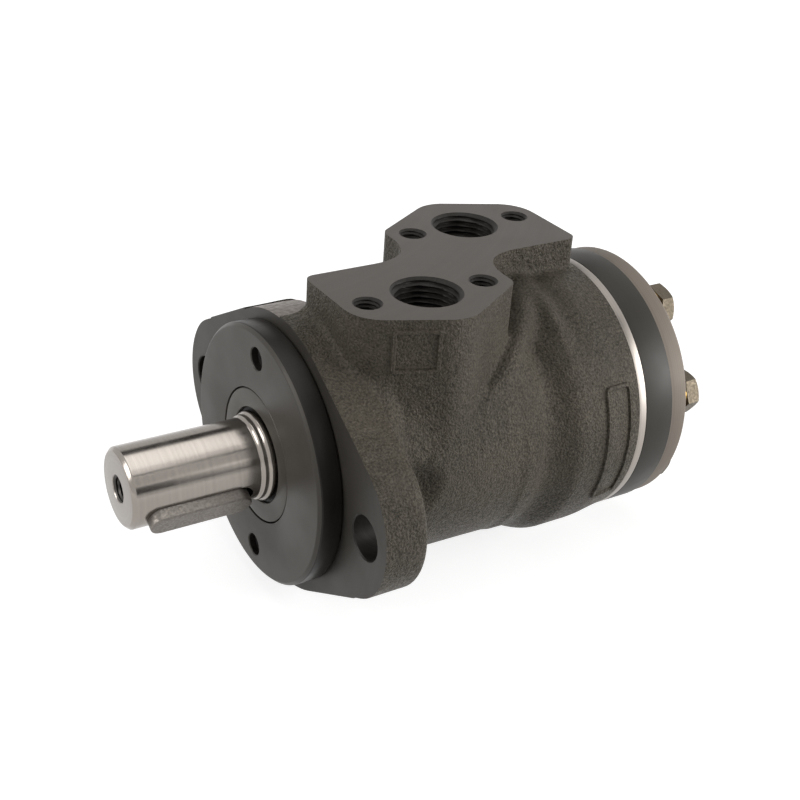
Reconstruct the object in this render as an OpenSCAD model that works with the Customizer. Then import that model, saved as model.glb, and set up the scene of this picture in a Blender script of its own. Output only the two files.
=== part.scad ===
// Orbital hydraulic motor with a spool valve, oval flange, keyed shaft and two side ports.
// Millimetres. +X runs along the shaft and out of the motor, +Z points up through the ports.
// The origin is on the motor axis, in the flange face that lies against the machine.

/* [Flange and spigot] */
// Diameter of the spigot that centres the motor
pilot_d = 82.55; // [81:0.05:84]
// How far the spigot stands out of the flange face
pilot_h = 8; // [7:0.5:10]
// Distance between the two flange bolt holes
flange_span = 106.4; // [104:0.2:109]
// Diameter of the flange bolt holes
flange_hole_d = 13.5; // [11:0.5:14]
// Thickness of the flange at its ears
flange_t = 14; // [11:0.5:15]
// Length of the flange from ear to ear
flange_len = 130; // [127:0.5:134]
// Diameter of the round middle of the flange
flange_waist_d = 90; // [88:0.5:96]
// Angle of the flange's straight edges, from the ears up
flange_edge_angle = 60.2; // [57:0.2:63]

/* [Casting] */
// Length of the casting from the flange face to its rear face
housing_len = 107; // [105:0.5:112]
// Diameter of the barrel behind the flange
barrel_d = 82; // [80:0.5:84]
// Diameter of the gear set and of the casting's rear face
stack_d = 88.5; // [87.5:0.25:92]
// How far the drum behind the barrel swells past the rear face
drum_swell = 1.4; // [0.6:0.1:2]
// Length of the drum at the rear of the casting
drum_len = 37; // [34:0.5:40]
// How far the oil ridges beside the port block stand above the barrel
ridge_rise = 4.7; // [3.5:0.1:5]

/* [Ports] */
// Height of the port face above the motor axis
port_z = 55; // [54:0.5:60]
// Distance from the flange face to the middle of the port face
port_mid = 57; // [55:0.5:60]
// Half the distance between the ports, along the motor
port_step = 20; // [19.5:0.25:21]
// Distance of each port from the motor's middle plane
port_side = 20; // [18:0.25:21]
// Core diameter of the port thread
port_core_d = 18.63; // [17:0.1:19]
// Depth of the port thread
port_depth = 15; // [13:0.5:16]
// Distance of a bracket bolt from its port
port_bolt_step = 20; // [19.5:0.25:21]
// Core diameter of the bracket bolt thread
port_bolt_core_d = 6.8; // [5:0.1:7]
// Depth of the bracket bolt thread
port_bolt_depth = 13; // [10:0.5:14]
// Length of each half of the port block, along the motor
lobe_len = 56.5; // [55:0.5:60]
// Reach of the port block from the motor's middle plane
lobe_reach = 40; // [38:0.5:42]

/* [Shaft] */
// Diameter of the output shaft
shaft_d = 25; // [24:0.1:26]
// Reach of the shaft past the flange face
shaft_reach = 52; // [49:0.5:60]
// Diameter of the shaft where the seals run
neck_d = 28; // [27:0.1:28.6]
// Width of the key
key_w = 8; // [6:0.5:10]
// Height of the key
key_h = 7; // [6:0.25:8]
// Length of the key
key_len = 32; // [26:0.5:33]
// Depth of the keyway in the shaft
keyway_depth = 4; // [3:0.25:5]
// Distance from the shaft's end to the key
key_inset = 4.5; // [4:0.5:10]
// Direction of the key at rest, from +Y towards +Z
key_angle = -28; // [-90:2:90]
// Core diameter of the thread in the shaft's end
shaft_tap_d = 6.8; // [5:0.1:8.5]
// Depth of the thread in the shaft's end
shaft_tap_depth = 18; // [14:0.5:22]

/* [Spool valve] */
// Diameter of the spool that is one piece with the shaft
spool_d = 38; // [37.6:0.1:38.6]
// Radial running clearance of the spool in its bore
spool_gap = 0.03; // [0.02:0.01:0.08]
// Diameter of the hollow in the spool
spool_bore_d = 26; // [25:0.5:27]
// Depth of the spool's grooves and slots
groove_depth = 3.3; // [2.5:0.1:3.6]
// Width of the two ring grooves
groove_w = 10; // [8:0.5:11]
// Width of the twelve timing slots
slot_w = 4.6; // [4:0.1:5]
// Diameter of the oil channels from the spool to the gear set
channel_d = 6.4; // [5:0.2:7]

/* [Gear set] */
// Width of the gear ring
rotor_w = 11; // [9:0.5:25]
// Radius of the ring's lobes
lobe_r = 8.5; // [8.2:0.1:8.8]
// Orbit radius of the star
orbit_r = 3.5; // [3.3:0.05:3.6]
// Clearance between the star and the ring
mesh_gap = 0.06; // [0.05:0.01:0.1]
// Thickness of the distributor plate
plate_t = 3; // [2.5:0.25:5]
// Thickness of the end cover
cover_t = 8; // [6:0.5:10]
// Diameter of the end cover bolts
cover_bolt_d = 8; // [7:0.5:8]
// Width of the hexagon heads across flats
head_af = 13; // [12:0.5:13]

/* [Hidden] */
$fn = 96;
past = 1;

// Places along the motor axis, from the front to the rear
x_rear = -housing_len;
x_plate = x_rear - plate_t;
x_ring = x_plate - rotor_w;
x_end = x_ring - cover_t;

pilot_r = pilot_d / 2;
stack_r = stack_d / 2;
barrel_r = barrel_d / 2;
neck_r = neck_d / 2;
shaft_r = shaft_d / 2;
spool_r = spool_d / 2;
bore_r = spool_r + spool_gap;
seat_gap = 0.05;

// Front cover: a plug under the spigot that holds the seals
plug_r = 26;
plug_depth = 8;
cover_screw_r = 33;
screw_r = 2;
screw_head_r = 3.4;
screw_head_h = 4;
screw_len = 16;
screw_pocket_r = 3.6;
screw_seat_x = 1.8;
dust_seal_r = 21.5;
dust_seal_t = 4.6;
seal_r = 19;
seal_t = 7;
lip_gap = 0.05;

// Thrust bearing between the front cover and the spool's shoulder
race_r = 23;
race_t = 1;
needle_r = 1.5;
needle_len = 4.6;
needle_mid_r = 19;
needle_count = 24;
roll_gap = 0.02;
x_race_front = -plug_depth;
x_needles = x_race_front - race_t - roll_gap - needle_r;
x_race_rear = x_needles - needle_r - roll_gap;
x_spool = x_race_rear - race_t;
bearing_room_r = race_r + 0.6;

// Ports, and the corners of the front half of the port block as [x, y, radius]
port_mid_x = -port_mid;
port_a_x = port_mid_x + port_step;
port_b_x = port_mid_x - port_step;
lobe_front = port_mid_x + lobe_len - 8.3;
lobe_corners = [
    [lobe_front - 3.2, -0.5, 3.2], [lobe_front - 12, lobe_reach - 19.2, 12],
    [lobe_front - 28.8, lobe_reach - 11.6, 11.6], [lobe_front - lobe_len + 3.2, lobe_reach - 16, 3.2],
    [lobe_front - lobe_len + 3.2, -0.5, 3.2]
];

// Casting: round ends of the flange ears, raised frames, and the flange's ground patch
ear_r = 25.2;
frame_rise = 0.5;
patch_r = 12;
patch_depth = 0.5;

// Spool: ring grooves under the ports, timing slots between them
groove_r = spool_r - groove_depth;
slot_lap = 6;
chamber_r = spool_r + 4;
chamber_w = groove_w + 1;
passage_r = 5;
passage_side = 11;
drain_x = -24;
drain_angle = 50;
drain_core_r = 5.9;
drain_boss_r = 11;
drain_boss_rise = 3;
drain_head_r = 9;
drain_head_h = 3;
drain_washer_t = 1.5;
drain_room_r = spool_r + 1.6;

// Cardan shaft: its front joint sits in the spool, its rear joint in the star
spline_teeth = 12;
spline_root_r = 9;
spline_tip_r = 10.4;
spline_gap = 0.35;
cardan_r = 8;
cardan_front_x = -38;
cardan_head = 9;
star_joint = 4.5;
spacer_t = 2.3;
spacer_r = 8.8;
cardan_rear_x = x_plate - star_joint;
cardan_reach = cardan_front_x - cardan_rear_x;
cardan_tilt = atan(orbit_r / cardan_reach);
cardan_rear_len = rotor_w - spacer_t - 1.2;

// Gear set: a star with six lobes in a ring with seven
ring_lobes = 7;
star_lobes = ring_lobes - 1;
lobe_pitch_r = stack_r - 8.25;
channel_r = lobe_pitch_r - 6;
plate_bore_r = 17;
cover_bolt_r = stack_r - 9.95;
cover_chamfer = 2;
first_bolt_angle = -91.5;
star_side_gap = 0.03;
hollow_share = 0.8;
root_r = lobe_pitch_r - lobe_r + 2 * orbit_r + mesh_gap;
hole_gap = 0.25;
thread_r = cover_bolt_d / 2;
bolt_depth = 13;
washer_t = 1.5;
washer_r = 6.4;
head_h = 5.4;
o_ring_r = 0.9;
o_ring_pitch_r = stack_r - 2.85;
o_groove_w = 2.2;
o_groove_depth = 1.85;
ball_r = 2.5;
ball_room_r = 3;
ball_room_depth = 7;
ball_circle_r = 24.5;
ball_angle = 38;

// Turns a closed outline of [radius, x] points about the motor axis
module turned(points) {
    rotate([90, 0, 90]) rotate_extrude() polygon(points);
}

// Extrudes an outline drawn in Y and Z from x towards the shaft end
module slab(x, length) {
    translate([x, 0, 0]) rotate([90, 0, 90]) linear_extrude(length) children();
}

// Cylinder along the motor axis from x_low to x_high
module rod(x_low, x_high, r) {
    translate([x_low, 0, 0]) rotate([0, 90, 0]) cylinder(h = x_high - x_low, r = r);
}

// Flat ring along the motor axis
module tube(x_low, x_high, r_in, r_out) {
    turned([[r_in, x_low], [r_out, x_low], [r_out, x_high], [r_in, x_high]]);
}

// Copies a piece round the motor axis
module around(count, r, start = 0) {
    for (k = [0 : count - 1]) rotate([start + 360 * k / count, 0, 0]) translate([0, r, 0]) children();
}

// Places what points out of the case drain, on the far side and below, clear of the flange's bolts
module at_drain() {
    translate([drain_x, 0, 0]) rotate([90 + drain_angle, 0, 0]) children();
}

// O-ring round the motor axis
module o_ring(x, r, wire_r) {
    rotate([90, 0, 90]) rotate_extrude() translate([r, x]) circle(r = wire_r, $fn = 32);
}

// Outline of a spline; gap widens it into the mating space
function spline_points(gap) = [
    for (k = [0 : spline_teeth - 1])
        for (side = [[-1, 0], [-1, 1], [1, 1], [1, 0]])
            let (r = side[1] == 1 ? spline_tip_r + gap : spline_root_r + gap,
                 half = (side[1] == 1 ? 4.6 : 9) + gap / r * 180 / PI,
                 a = 360 * k / spline_teeth + side[0] * half)
                [r * cos(a), r * sin(a)]
];

// Point of the star's outline: the path of the ring's lobe middles seen from the star, moved inwards.
// The points are closer together in the hollows, where the outline turns fastest.
function star_point(turn) =
    let (s = turn - hollow_share * sin(star_lobes * turn) / star_lobes * 180 / PI,
         path = [lobe_pitch_r * cos(s) - orbit_r * cos(ring_lobes * s),
                 lobe_pitch_r * sin(s) - orbit_r * sin(ring_lobes * s)],
         along = [-lobe_pitch_r * sin(s) + ring_lobes * orbit_r * sin(ring_lobes * s),
                  lobe_pitch_r * cos(s) - ring_lobes * orbit_r * cos(ring_lobes * s)],
         inwards = [-along[1], along[0]] / norm(along))
    path + inwards * (lobe_r + mesh_gap);

// Flange outline: four straight edges on the waist circle, closed by round ears
module flange_outline(inset = 0) {
    edge_r = flange_waist_d / 2 - inset;
    ear_mid = flange_len / 2 - ear_r;
    corner_r = 0.8;
    circle(r = edge_r);
    offset(r = corner_r, $fn = 48) offset(delta = -corner_r) intersection() {
        union() {
            square([flange_len - 30, flange_len], center = true);
            for (side = [-1, 1]) translate([side * ear_mid, 0]) circle(r = ear_r - inset);
        }
        polygon([
            for (side = [1, -1], a = [-flange_edge_angle, 0, flange_edge_angle])
                let (reach = a == 0 ? edge_r / cos(flange_edge_angle) : edge_r)
                    side * reach * [cos(a), sin(a)]
        ]);
    }
}

// One half of the port face, round the front port
module lobe_outline() {
    hull() for (corner = lobe_corners) translate([corner[0], corner[1]]) circle(r = corner[2]);
}

// Port face: two halves, each the other turned round the middle, with an inner corner each
module port_face_outline() {
    inner_r = 11;
    offset(r = -inner_r, $fn = 64) offset(delta = inner_r) {
        lobe_outline();
        translate([2 * port_mid_x, 0]) rotate(180) lobe_outline();
    }
}

// Crest of the oil ridge: it starts low beside the flange and climbs to the rear of the port block
function ridge_x(a) = port_mid_x + 21 - 39.6 * sin(a);
function ridge_r(a) = barrel_r + 0.3 + ridge_rise * sin(min(90, 1.15 * a));

// Ridge on the near side, where oil channels run from a port to the gear set
module ridge() {
    rear_reach = 16;
    front_reach = 9.5;
    fall = 4.2;
    foot_r = barrel_r - 8;
    angles = [for (a = [-10 : 10 : 90]) a];
    shifts = [for (share = [-1 : 0.25 : 1]) share * (share < 0 ? rear_reach : front_reach)];
    sections = [for (a = angles) concat(
        [[ridge_x(a) - rear_reach, foot_r, a]],
        [for (d = shifts) let (share = d / (d < 0 ? rear_reach : front_reach))
            [ridge_x(a) + d, ridge_r(a) - fall * share * share, a]],
        [[ridge_x(a) + front_reach, foot_r, a]]
    )];
    count = len(sections[0]);
    last = (len(angles) - 1) * count;
    polyhedron(
        [for (section = sections, p = section) [p[0], p[1] * cos(p[2]), p[1] * sin(p[2])]],
        concat(
            [[for (k = [count - 1 : -1 : 0]) k]],
            [[for (k = [0 : count - 1]) last + k]],
            [for (i = [0 : len(angles) - 2], k = [0 : count - 1], half = [0, 1])
                let (a = i * count + k, b = i * count + (k + 1) % count)
                    half == 0 ? [a, b, b + count] : [a, b + count, a + count]]
        )
    );
}

// Drum at the rear end; extra makes it larger all round
module drum(extra = 0) {
    swollen_r = stack_r + drum_swell + extra;
    slope = drum_swell + stack_r - barrel_r;
    turned([
        [0, x_rear], [stack_r + extra, x_rear], [swollen_r - drum_swell * 0.43, x_rear + drum_len * 0.22],
        [swollen_r, x_rear + drum_len * 0.43], [swollen_r, x_rear + drum_len * 0.57],
        [swollen_r - slope * 0.24, x_rear + drum_len * 0.757],
        [swollen_r - slope * 0.65, x_rear + drum_len * 0.89],
        [barrel_r + extra, x_rear + drum_len], [0, x_rear + drum_len]
    ]);
}

// Bare rectangular frame with its middle at the origin, standing up in Y
module bare_frame(len_x, len_z, line, rise, foot) {
    translate([0, rise / 2 - foot / 2, 0]) difference() {
        cube([len_x, rise + foot, len_z], center = true);
        cube([len_x - 2 * line, rise + foot + 2 * past, len_z - 2 * line], center = true);
    }
}

// Frame on the flat of the port block, between its two front corners
module block_frame() {
    low = lobe_corners[1];
    high = lobe_corners[2];
    along = [high[0] - low[0], high[1] - low[1]];
    lean = asin((low[2] - high[2]) / norm(along));
    translate([low[0], low[1], port_z - 10]) rotate(atan2(along[1], along[0]) + lean)
        translate([norm(along) / 2, -low[2], 0]) mirror([0, 1, 0]) bare_frame(13.2, 12.4, 1.2, frame_rise, 1);
}

// Frame on the near side of the drum
module drum_frame() {
    intersection() {
        drum(frame_rise);
        translate([x_rear + 8.8, barrel_r, 0]) bare_frame(9.6, 39, 1.5, 8, 12);
    }
}

// Shallow patch ground into the top of the flange's round middle, in front of the port block
module ground_patch() {
    difference() {
        translate([-2, -12.9, 0]) cylinder(h = flange_waist_d, r = patch_r);
        rod(-flange_t - past, past, flange_waist_d / 2 - patch_depth);
    }
}

// The rough casting, before any machining
module casting() {
    fillet = 6;
    slab(-flange_t, flange_t) flange_outline();
    rod(x_rear + drum_len - past, -flange_t + past, barrel_r);
    turned([
        [0, 1 - flange_t], [flange_waist_d / 2, 1 - flange_t], [flange_waist_d / 2, -flange_t],
        [barrel_r + 1.2, -flange_t - fillet * 0.45], [barrel_r - past, -flange_t - fillet],
        [0, -flange_t - fillet]
    ]);
    drum();
    drum_frame();
    block_frame();
    ridge();
    translate([2 * port_mid_x, 0, 0]) rotate(180) ridge();
    translate([0, 0, port_z - 43]) linear_extrude(43) port_face_outline();
    at_drain() cylinder(h = barrel_r + drain_boss_rise, r = drain_boss_r);
}

// Port thread with its chamfer and the passage down to the spool; side is 1 or -1
module port_cut(x, side) {
    run_out = 3;
    translate([x, side * port_side, port_z]) {
        translate([0, 0, -port_depth - run_out]) cylinder(h = port_depth + run_out + past, d = port_core_d);
        translate([0, 0, -1.4])
            cylinder(h = 1.4 + past, r1 = port_core_d / 2, r2 = port_core_d / 2 + 1.4 + past);
    }
    translate([x, side * passage_side, spool_r - 2])
        cylinder(h = port_z - spool_r + 2 - port_depth - 1, r = passage_r);
}

// Blind thread for a bracket bolt in the port face
module port_bolt_cut(x, y) {
    r = port_bolt_core_d / 2;
    translate([x, y, port_z - port_bolt_depth]) cylinder(h = port_bolt_depth + past, r = r);
    translate([x, y, port_z - port_bolt_depth - r * 0.6]) cylinder(h = r * 0.6 + 0.01, r1 = 0, r2 = r);
    translate([x, y, port_z - 0.9]) cylinder(h = 0.9 + past, r1 = r, r2 = r + 0.9 + past);
}

// Groove for an O-ring in a face; the groove lies on the +X side of x for way 1
module o_ring_groove(x, way) {
    low = way > 0 ? x - past : x - o_groove_depth;
    high = way > 0 ? x + o_groove_depth : x + past;
    tube(low, high, o_ring_pitch_r - o_groove_w / 2, o_ring_pitch_r + o_groove_w / 2);
}

module housing() {
    pocket_angle = first_bolt_angle + 180 / ring_lobes;
    window_low = spool_r - 3;
    color("#4a4844") difference() {
        casting();
        ground_patch();
        rod(x_rear - past, past, bore_r);
        rod(-plug_depth - 0.1, past, plug_r + seat_gap);
        rod(x_spool - 1.5, 0, bearing_room_r);
        for (x = [port_a_x, port_b_x]) rod(x - chamber_w / 2, x + chamber_w / 2, chamber_r);
        rod(drain_x - 2.5, drain_x + 2.5, drain_room_r);
        around(ring_lobes, channel_r, pocket_angle)
            rod(x_rear - past, port_mid_x + channel_d / 2, channel_d / 2);
        around(ring_lobes, window_low, pocket_angle)
            translate([port_mid_x, 0, 0]) rotate([-90, 0, 0]) cylinder(h = channel_r - window_low, r = 2.6);
        port_cut(port_a_x, 1);
        port_cut(port_b_x, -1);
        for (side = [-1, 1]) {
            for (step = [-1, 1])
                port_bolt_cut(port_mid_x + side * port_step + step * port_bolt_step, side * port_side);
            translate([0, side * flange_span / 2, 0]) rod(-flange_t - 2 * past, past, flange_hole_d / 2);
            translate([0, 0, side * cover_screw_r])
                rod(screw_seat_x - screw_len - 2, past, screw_r + seat_gap);
        }
        around(ring_lobes, cover_bolt_r, first_bolt_angle)
            rod(x_rear - past, x_rear + bolt_depth + 4, thread_r + seat_gap);
        o_ring_groove(x_rear, 1);
        for (side = [-1, 1])
            rotate([90 + side * ball_angle, 0, 0]) translate([0, ball_circle_r, 0])
                rod(x_rear - past, x_rear + ball_room_depth, ball_room_r);
        at_drain() translate([0, 0, bore_r - 2]) cylinder(h = barrel_r, r = 3);
        at_drain() translate([0, 0, barrel_r - 9]) cylinder(h = barrel_r, r = drain_core_r + seat_gap);
        // Spot faces behind the ears, so that the bolt heads or nuts sit flat
        for (side = [-1, 1])
            translate([0, side * flange_span / 2, 0]) rod(-flange_t - 12, -flange_t, flange_hole_d / 2 + 5);
    }
}

module front_cover() {
    groove_mid = -4;
    color("#3b3836") difference() {
        turned([
            [plug_r, -plug_depth], [plug_r, groove_mid - 1.4], [plug_r - 2, groove_mid - 1.4],
            [plug_r - 2, groove_mid + 1.4], [plug_r, groove_mid + 1.4], [plug_r, 0], [pilot_r - 0.4, 0],
            [pilot_r, 0.4], [pilot_r, pilot_h - 1], [pilot_r - 1, pilot_h], [dust_seal_r, pilot_h],
            [dust_seal_r, pilot_h - dust_seal_t - 0.2], [neck_r + 2, pilot_h - dust_seal_t - 0.2],
            [neck_r + 2, pilot_h - dust_seal_t - 0.8], [seal_r, pilot_h - dust_seal_t - 0.8],
            [seal_r, -plug_depth]
        ]);
        for (side = [-1, 1]) translate([0, 0, side * cover_screw_r]) {
            rod(-past, pilot_h + past, screw_r + seat_gap);
            rod(screw_seat_x, pilot_h + past, screw_pocket_r);
        }
    }
}

// Two socket head screws that hold the front cover
module cover_screws() {
    color("#2c2b2a") for (side = [-1, 1]) translate([0, 0, side * cover_screw_r]) difference() {
        union() {
            rod(screw_seat_x, screw_seat_x + screw_head_h, screw_head_r);
            rod(screw_seat_x - screw_len, screw_seat_x + 0.5, screw_r);
        }
        translate([screw_seat_x + 2, 0, 0]) rotate([0, 90, 0]) cylinder(h = screw_head_h, r = 1.7, $fn = 6);
    }
}

module dust_seal_case() {
    x_out = pilot_h - 0.1;
    r_out = dust_seal_r - seat_gap;
    color("#55504b") turned([
        [r_out, x_out - dust_seal_t], [r_out, x_out], [neck_r + 1.2, x_out], [neck_r + 1.2, x_out - 1.2],
        [r_out - 1.2, x_out - 1.2], [r_out - 1.2, x_out - dust_seal_t]
    ]);
}

module dust_seal_lip() {
    x_out = pilot_h - 1.3 - seat_gap;
    color("#1c1c1c") turned([
        [neck_r + 2.6, x_out - 2.6], [dust_seal_r - 1.4, x_out - 2.6], [dust_seal_r - 1.4, x_out],
        [neck_r + 0.8, x_out], [neck_r + lip_gap, x_out - 0.3], [neck_r + 0.6, x_out - 1.4],
        [neck_r + 2.6, x_out - 1.8]
    ]);
}

module shaft_seal() {
    x_out = pilot_h - dust_seal_t - 0.9;
    r_out = seal_r - seat_gap;
    color("#262626") turned([
        [r_out, x_out - seal_t], [r_out, x_out], [neck_r + 2.2, x_out], [neck_r + 0.6, x_out - 2],
        [neck_r + lip_gap, x_out - 3.8], [neck_r + 0.5, x_out - 5.4], [neck_r + 1.3, x_out - 5.8],
        [neck_r + 1.3, x_out - 4], [neck_r + 2.4, x_out - 1.6], [r_out - 1.2, x_out - 1.4],
        [r_out - 1.2, x_out - seal_t]
    ]);
}

module seal_garter_spring() {
    color("#9a9a98") o_ring(pilot_h - dust_seal_t - 0.9 - 4.9, neck_r + 2.05, 0.65);
}

module front_o_ring() {
    color("#161616") o_ring(-4, plug_r - 0.98, 0.95);
}

module thrust_race_front() {
    color("#b4b2ad") tube(x_race_front - race_t, x_race_front, neck_r + 1.2, race_r);
}

module thrust_cage() {
    color("#8d8a84") difference() {
        tube(x_needles - 1.2, x_needles + 1.2, neck_r + 1.2, race_r - 0.2);
        around(needle_count, needle_mid_r)
            translate([x_needles - 2, -needle_len / 2 - 0.15, -needle_r - 0.1])
                cube([4, needle_len + 0.3, 2 * needle_r + 0.2]);
    }
}

module thrust_needles() {
    color("#c9c8c4") around(needle_count, needle_mid_r)
        translate([x_needles, -needle_len / 2, 0]) rotate([-90, 0, 0])
            cylinder(h = needle_len, r = needle_r, $fn = 24);
}

module thrust_race_rear() {
    color("#b4b2ad") tube(x_race_rear - race_t, x_race_rear, neck_r + 0.05, race_r);
}

// Keyway or key: a bar with two round ends, standing out along key_angle
module key_bar(x_low, x_high, low, high, width) {
    r = width / 2;
    rotate([key_angle - 90, 0, 0]) translate([0, 0, low]) {
        translate([x_low + r, -r, 0]) cube([x_high - x_low - width, width, high - low]);
        for (x = [x_low + r, x_high - r]) translate([x, 0, 0]) cylinder(h = high - low, r = r);
    }
}

module output_shaft() {
    x_back = x_rear + 0.5;
    x_spline_end = cardan_front_x - cardan_head / 2 - 1;
    key_high = shaft_reach - key_inset;
    color("#b9b7b2") difference() {
        turned([
            [0, x_back], [spool_r - 0.4, x_back], [spool_r, x_back + 0.4], [spool_r, x_spool - 0.4],
            [spool_r - 0.4, x_spool], [neck_r, x_spool], [neck_r, pilot_h + 1.2],
            [neck_r - 0.5, pilot_h + 1.7],
            [(neck_r + shaft_r) / 2, pilot_h + 1.7], [(neck_r + shaft_r) / 2, pilot_h + 3.2],
            [shaft_r, pilot_h + 3.4], [shaft_r, shaft_reach - 1], [shaft_r - 1, shaft_reach], [0, shaft_reach]
        ]);
        rod(shaft_reach - shaft_tap_depth, shaft_reach + past, shaft_tap_d / 2);
        turned([
            [0, shaft_reach - 1.1], [shaft_tap_d / 2, shaft_reach - 1.1],
            [shaft_tap_d / 2 + 1.1 + past, shaft_reach + past],
            [0, shaft_reach + past]
        ]);
        key_bar(key_high - key_len - 1.5, key_high, shaft_r - keyway_depth, shaft_r + 2, key_w + 0.04);
        for (x = [port_a_x, port_b_x]) tube(x - groove_w / 2, x + groove_w / 2, groove_r, spool_r + past);
        tube(drain_x - 2.5, drain_x + 2.5, spool_r - 1.5, spool_r + past);
        // Timing slots: every other one opens into the front groove, the rest into the rear groove
        for (k = [0 : 11]) {
            low = k % 2 == 0 ? port_mid_x - slot_lap : port_b_x;
            high = k % 2 == 0 ? port_a_x : port_mid_x + slot_lap;
            rotate([30 * k, 0, 0]) translate([low, groove_r, -slot_w / 2])
                cube([high - low, groove_depth + past, slot_w]);
        }
        rod(x_back - past, x_spline_end, spool_bore_d / 2);
        slab(x_spline_end - past, cardan_head + 2 + past) polygon(spline_points(spline_gap));
        rod(x_spline_end, x_spline_end + cardan_head + 5, spline_root_r + spline_gap);
    }
}

module shaft_key() {
    key_high = shaft_reach - key_inset;
    floor_r = shaft_r - keyway_depth;
    color("#8f8c86") key_bar(key_high - key_len, key_high - 0.02, floor_r, floor_r + key_h, key_w);
}

module cardan_shaft() {
    low = -cardan_reach - cardan_rear_len + star_joint - 0.4;
    neck = 5;
    color("#8a8680") translate([cardan_front_x, 0, 0]) rotate([0, cardan_tilt, 0]) {
        difference() {
            slab(-cardan_head / 2, cardan_head) polygon(spline_points(0));
            rod(cardan_head / 2 - 1.5, cardan_head / 2 + past, 5);
        }
        turned([
            [0, low + cardan_rear_len - 0.5], [spline_root_r, low + cardan_rear_len - 0.5],
            [cardan_r, low + cardan_rear_len + neck], [cardan_r, -cardan_head / 2 - neck],
            [spline_root_r, -cardan_head / 2 + 0.5], [0, -cardan_head / 2 + 0.5]
        ]);
        slab(low, cardan_rear_len) polygon(spline_points(0));
    }
}

module cardan_spacer() {
    color("#a19e98") translate([0, 0, orbit_r]) tube(x_ring + 0.1, x_ring + 0.1 + spacer_t, 2.5, spacer_r);
}

// Bolt holes through a plate of the rear stack
module stack_bolt_holes(x_low, x_high) {
    around(ring_lobes, cover_bolt_r, first_bolt_angle) rod(x_low - past, x_high + past, thread_r + hole_gap);
}

module distributor_plate() {
    color("#b7b3aa") difference() {
        rod(x_plate, x_rear, stack_r);
        rod(x_plate - past, x_rear + past, plate_bore_r);
        around(ring_lobes, channel_r, first_bolt_angle + 180 / ring_lobes)
            rod(x_plate - past, x_rear + past, channel_d / 2);
        stack_bolt_holes(x_plate, x_rear);
    }
}

module housing_o_ring() {
    color("#161616") o_ring(x_rear + o_ring_r, o_ring_pitch_r, o_ring_r);
}

module plate_o_ring() {
    color("#161616") o_ring(x_plate - o_ring_r, o_ring_pitch_r, o_ring_r);
}

module ring_o_ring() {
    color("#161616") o_ring(x_ring + o_ring_r, o_ring_pitch_r, o_ring_r);
}

module gear_ring() {
    color("#2e2d2c") difference() {
        slab(x_ring, rotor_w) difference() {
            circle(r = stack_r);
            difference() {
                circle(r = root_r);
                for (k = [0 : ring_lobes - 1]) rotate(first_bolt_angle + 360 * k / ring_lobes)
                    translate([lobe_pitch_r, 0]) circle(r = lobe_r);
            }
        }
        stack_bolt_holes(x_ring, x_plate);
        o_ring_groove(x_ring, 1);
        o_ring_groove(x_plate, -1);
    }
}

module rotor_star() {
    points_a_lobe = 36;
    color("#6f6c68") translate([0, 0, orbit_r]) difference() {
        slab(x_ring + star_side_gap, rotor_w - 2 * star_side_gap)
            rotate((first_bolt_angle + 90) * ring_lobes / star_lobes)
                polygon([
                    for (k = [0 : star_lobes * points_a_lobe - 1])
                        star_point(360 * k / (star_lobes * points_a_lobe))
                ]);
        slab(x_ring - past, rotor_w + 2 * past) polygon(spline_points(spline_gap));
    }
}

module end_cover() {
    cover_r = stack_r - 0.45;
    color("#6a6762") difference() {
        turned([
            [0, x_end], [cover_r - cover_chamfer, x_end], [cover_r, x_end + cover_chamfer],
            [cover_r, x_ring], [0, x_ring]
        ]);
        stack_bolt_holes(x_end, x_ring);
    }
}

// Seven hexagon head bolts
module end_cover_bolts() {
    x_head = x_end - washer_t;
    color("#6d6558") around(ring_lobes, cover_bolt_r, first_bolt_angle) {
        rod(x_head - 0.5, x_rear + bolt_depth, thread_r);
        intersection() {
            translate([x_head - head_h, 0, 0]) rotate([0, 90, 0])
                cylinder(h = head_h, d = head_af / cos(30), $fn = 6);
            turned([
                [0, x_head - head_h], [head_af / 2 - 0.3, x_head - head_h],
                [head_af / 2 + 1.1, x_head - head_h + 0.8],
                [head_af / 2 + 1.1, x_head], [0, x_head]
            ]);
        }
    }
}

// Seven sealing washers under the bolt heads
module sealing_washers() {
    color("#c79a3e") around(ring_lobes, cover_bolt_r, first_bolt_angle)
        tube(x_end - washer_t, x_end, thread_r + 0.1, washer_r);
}

// Threaded plug with a collar and a hexagon socket, in the drain port
module drain_plug() {
    seat = barrel_r + drain_boss_rise + drain_washer_t;
    color("#77736b") at_drain() difference() {
        union() {
            translate([0, 0, barrel_r - 6.5]) cylinder(h = seat - barrel_r + 7, r = drain_core_r);
            translate([0, 0, seat]) cylinder(h = drain_head_h, r = drain_head_r);
        }
        translate([0, 0, seat - 2]) cylinder(h = 6, r = 3.46, $fn = 6);
    }
}

module drain_washer() {
    color("#a8743c") at_drain() translate([0, 0, barrel_r + drain_boss_rise]) difference() {
        cylinder(h = drain_washer_t, r = drain_head_r);
        translate([0, 0, -past]) cylinder(h = drain_washer_t + 2 * past, r = drain_core_r + 0.2);
    }
}

// Ball of a check valve in its room in the rear face; side is 1 or -1
module check_ball(side) {
    color("#d0cfcb") rotate([90 + side * ball_angle, 0, 0])
        translate([x_rear + ball_r + 0.1, ball_circle_r, 0]) sphere(r = ball_r, $fn = 48);
}

module check_ball_a() {
    check_ball(-1);
}

module check_ball_b() {
    check_ball(1);
}

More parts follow.
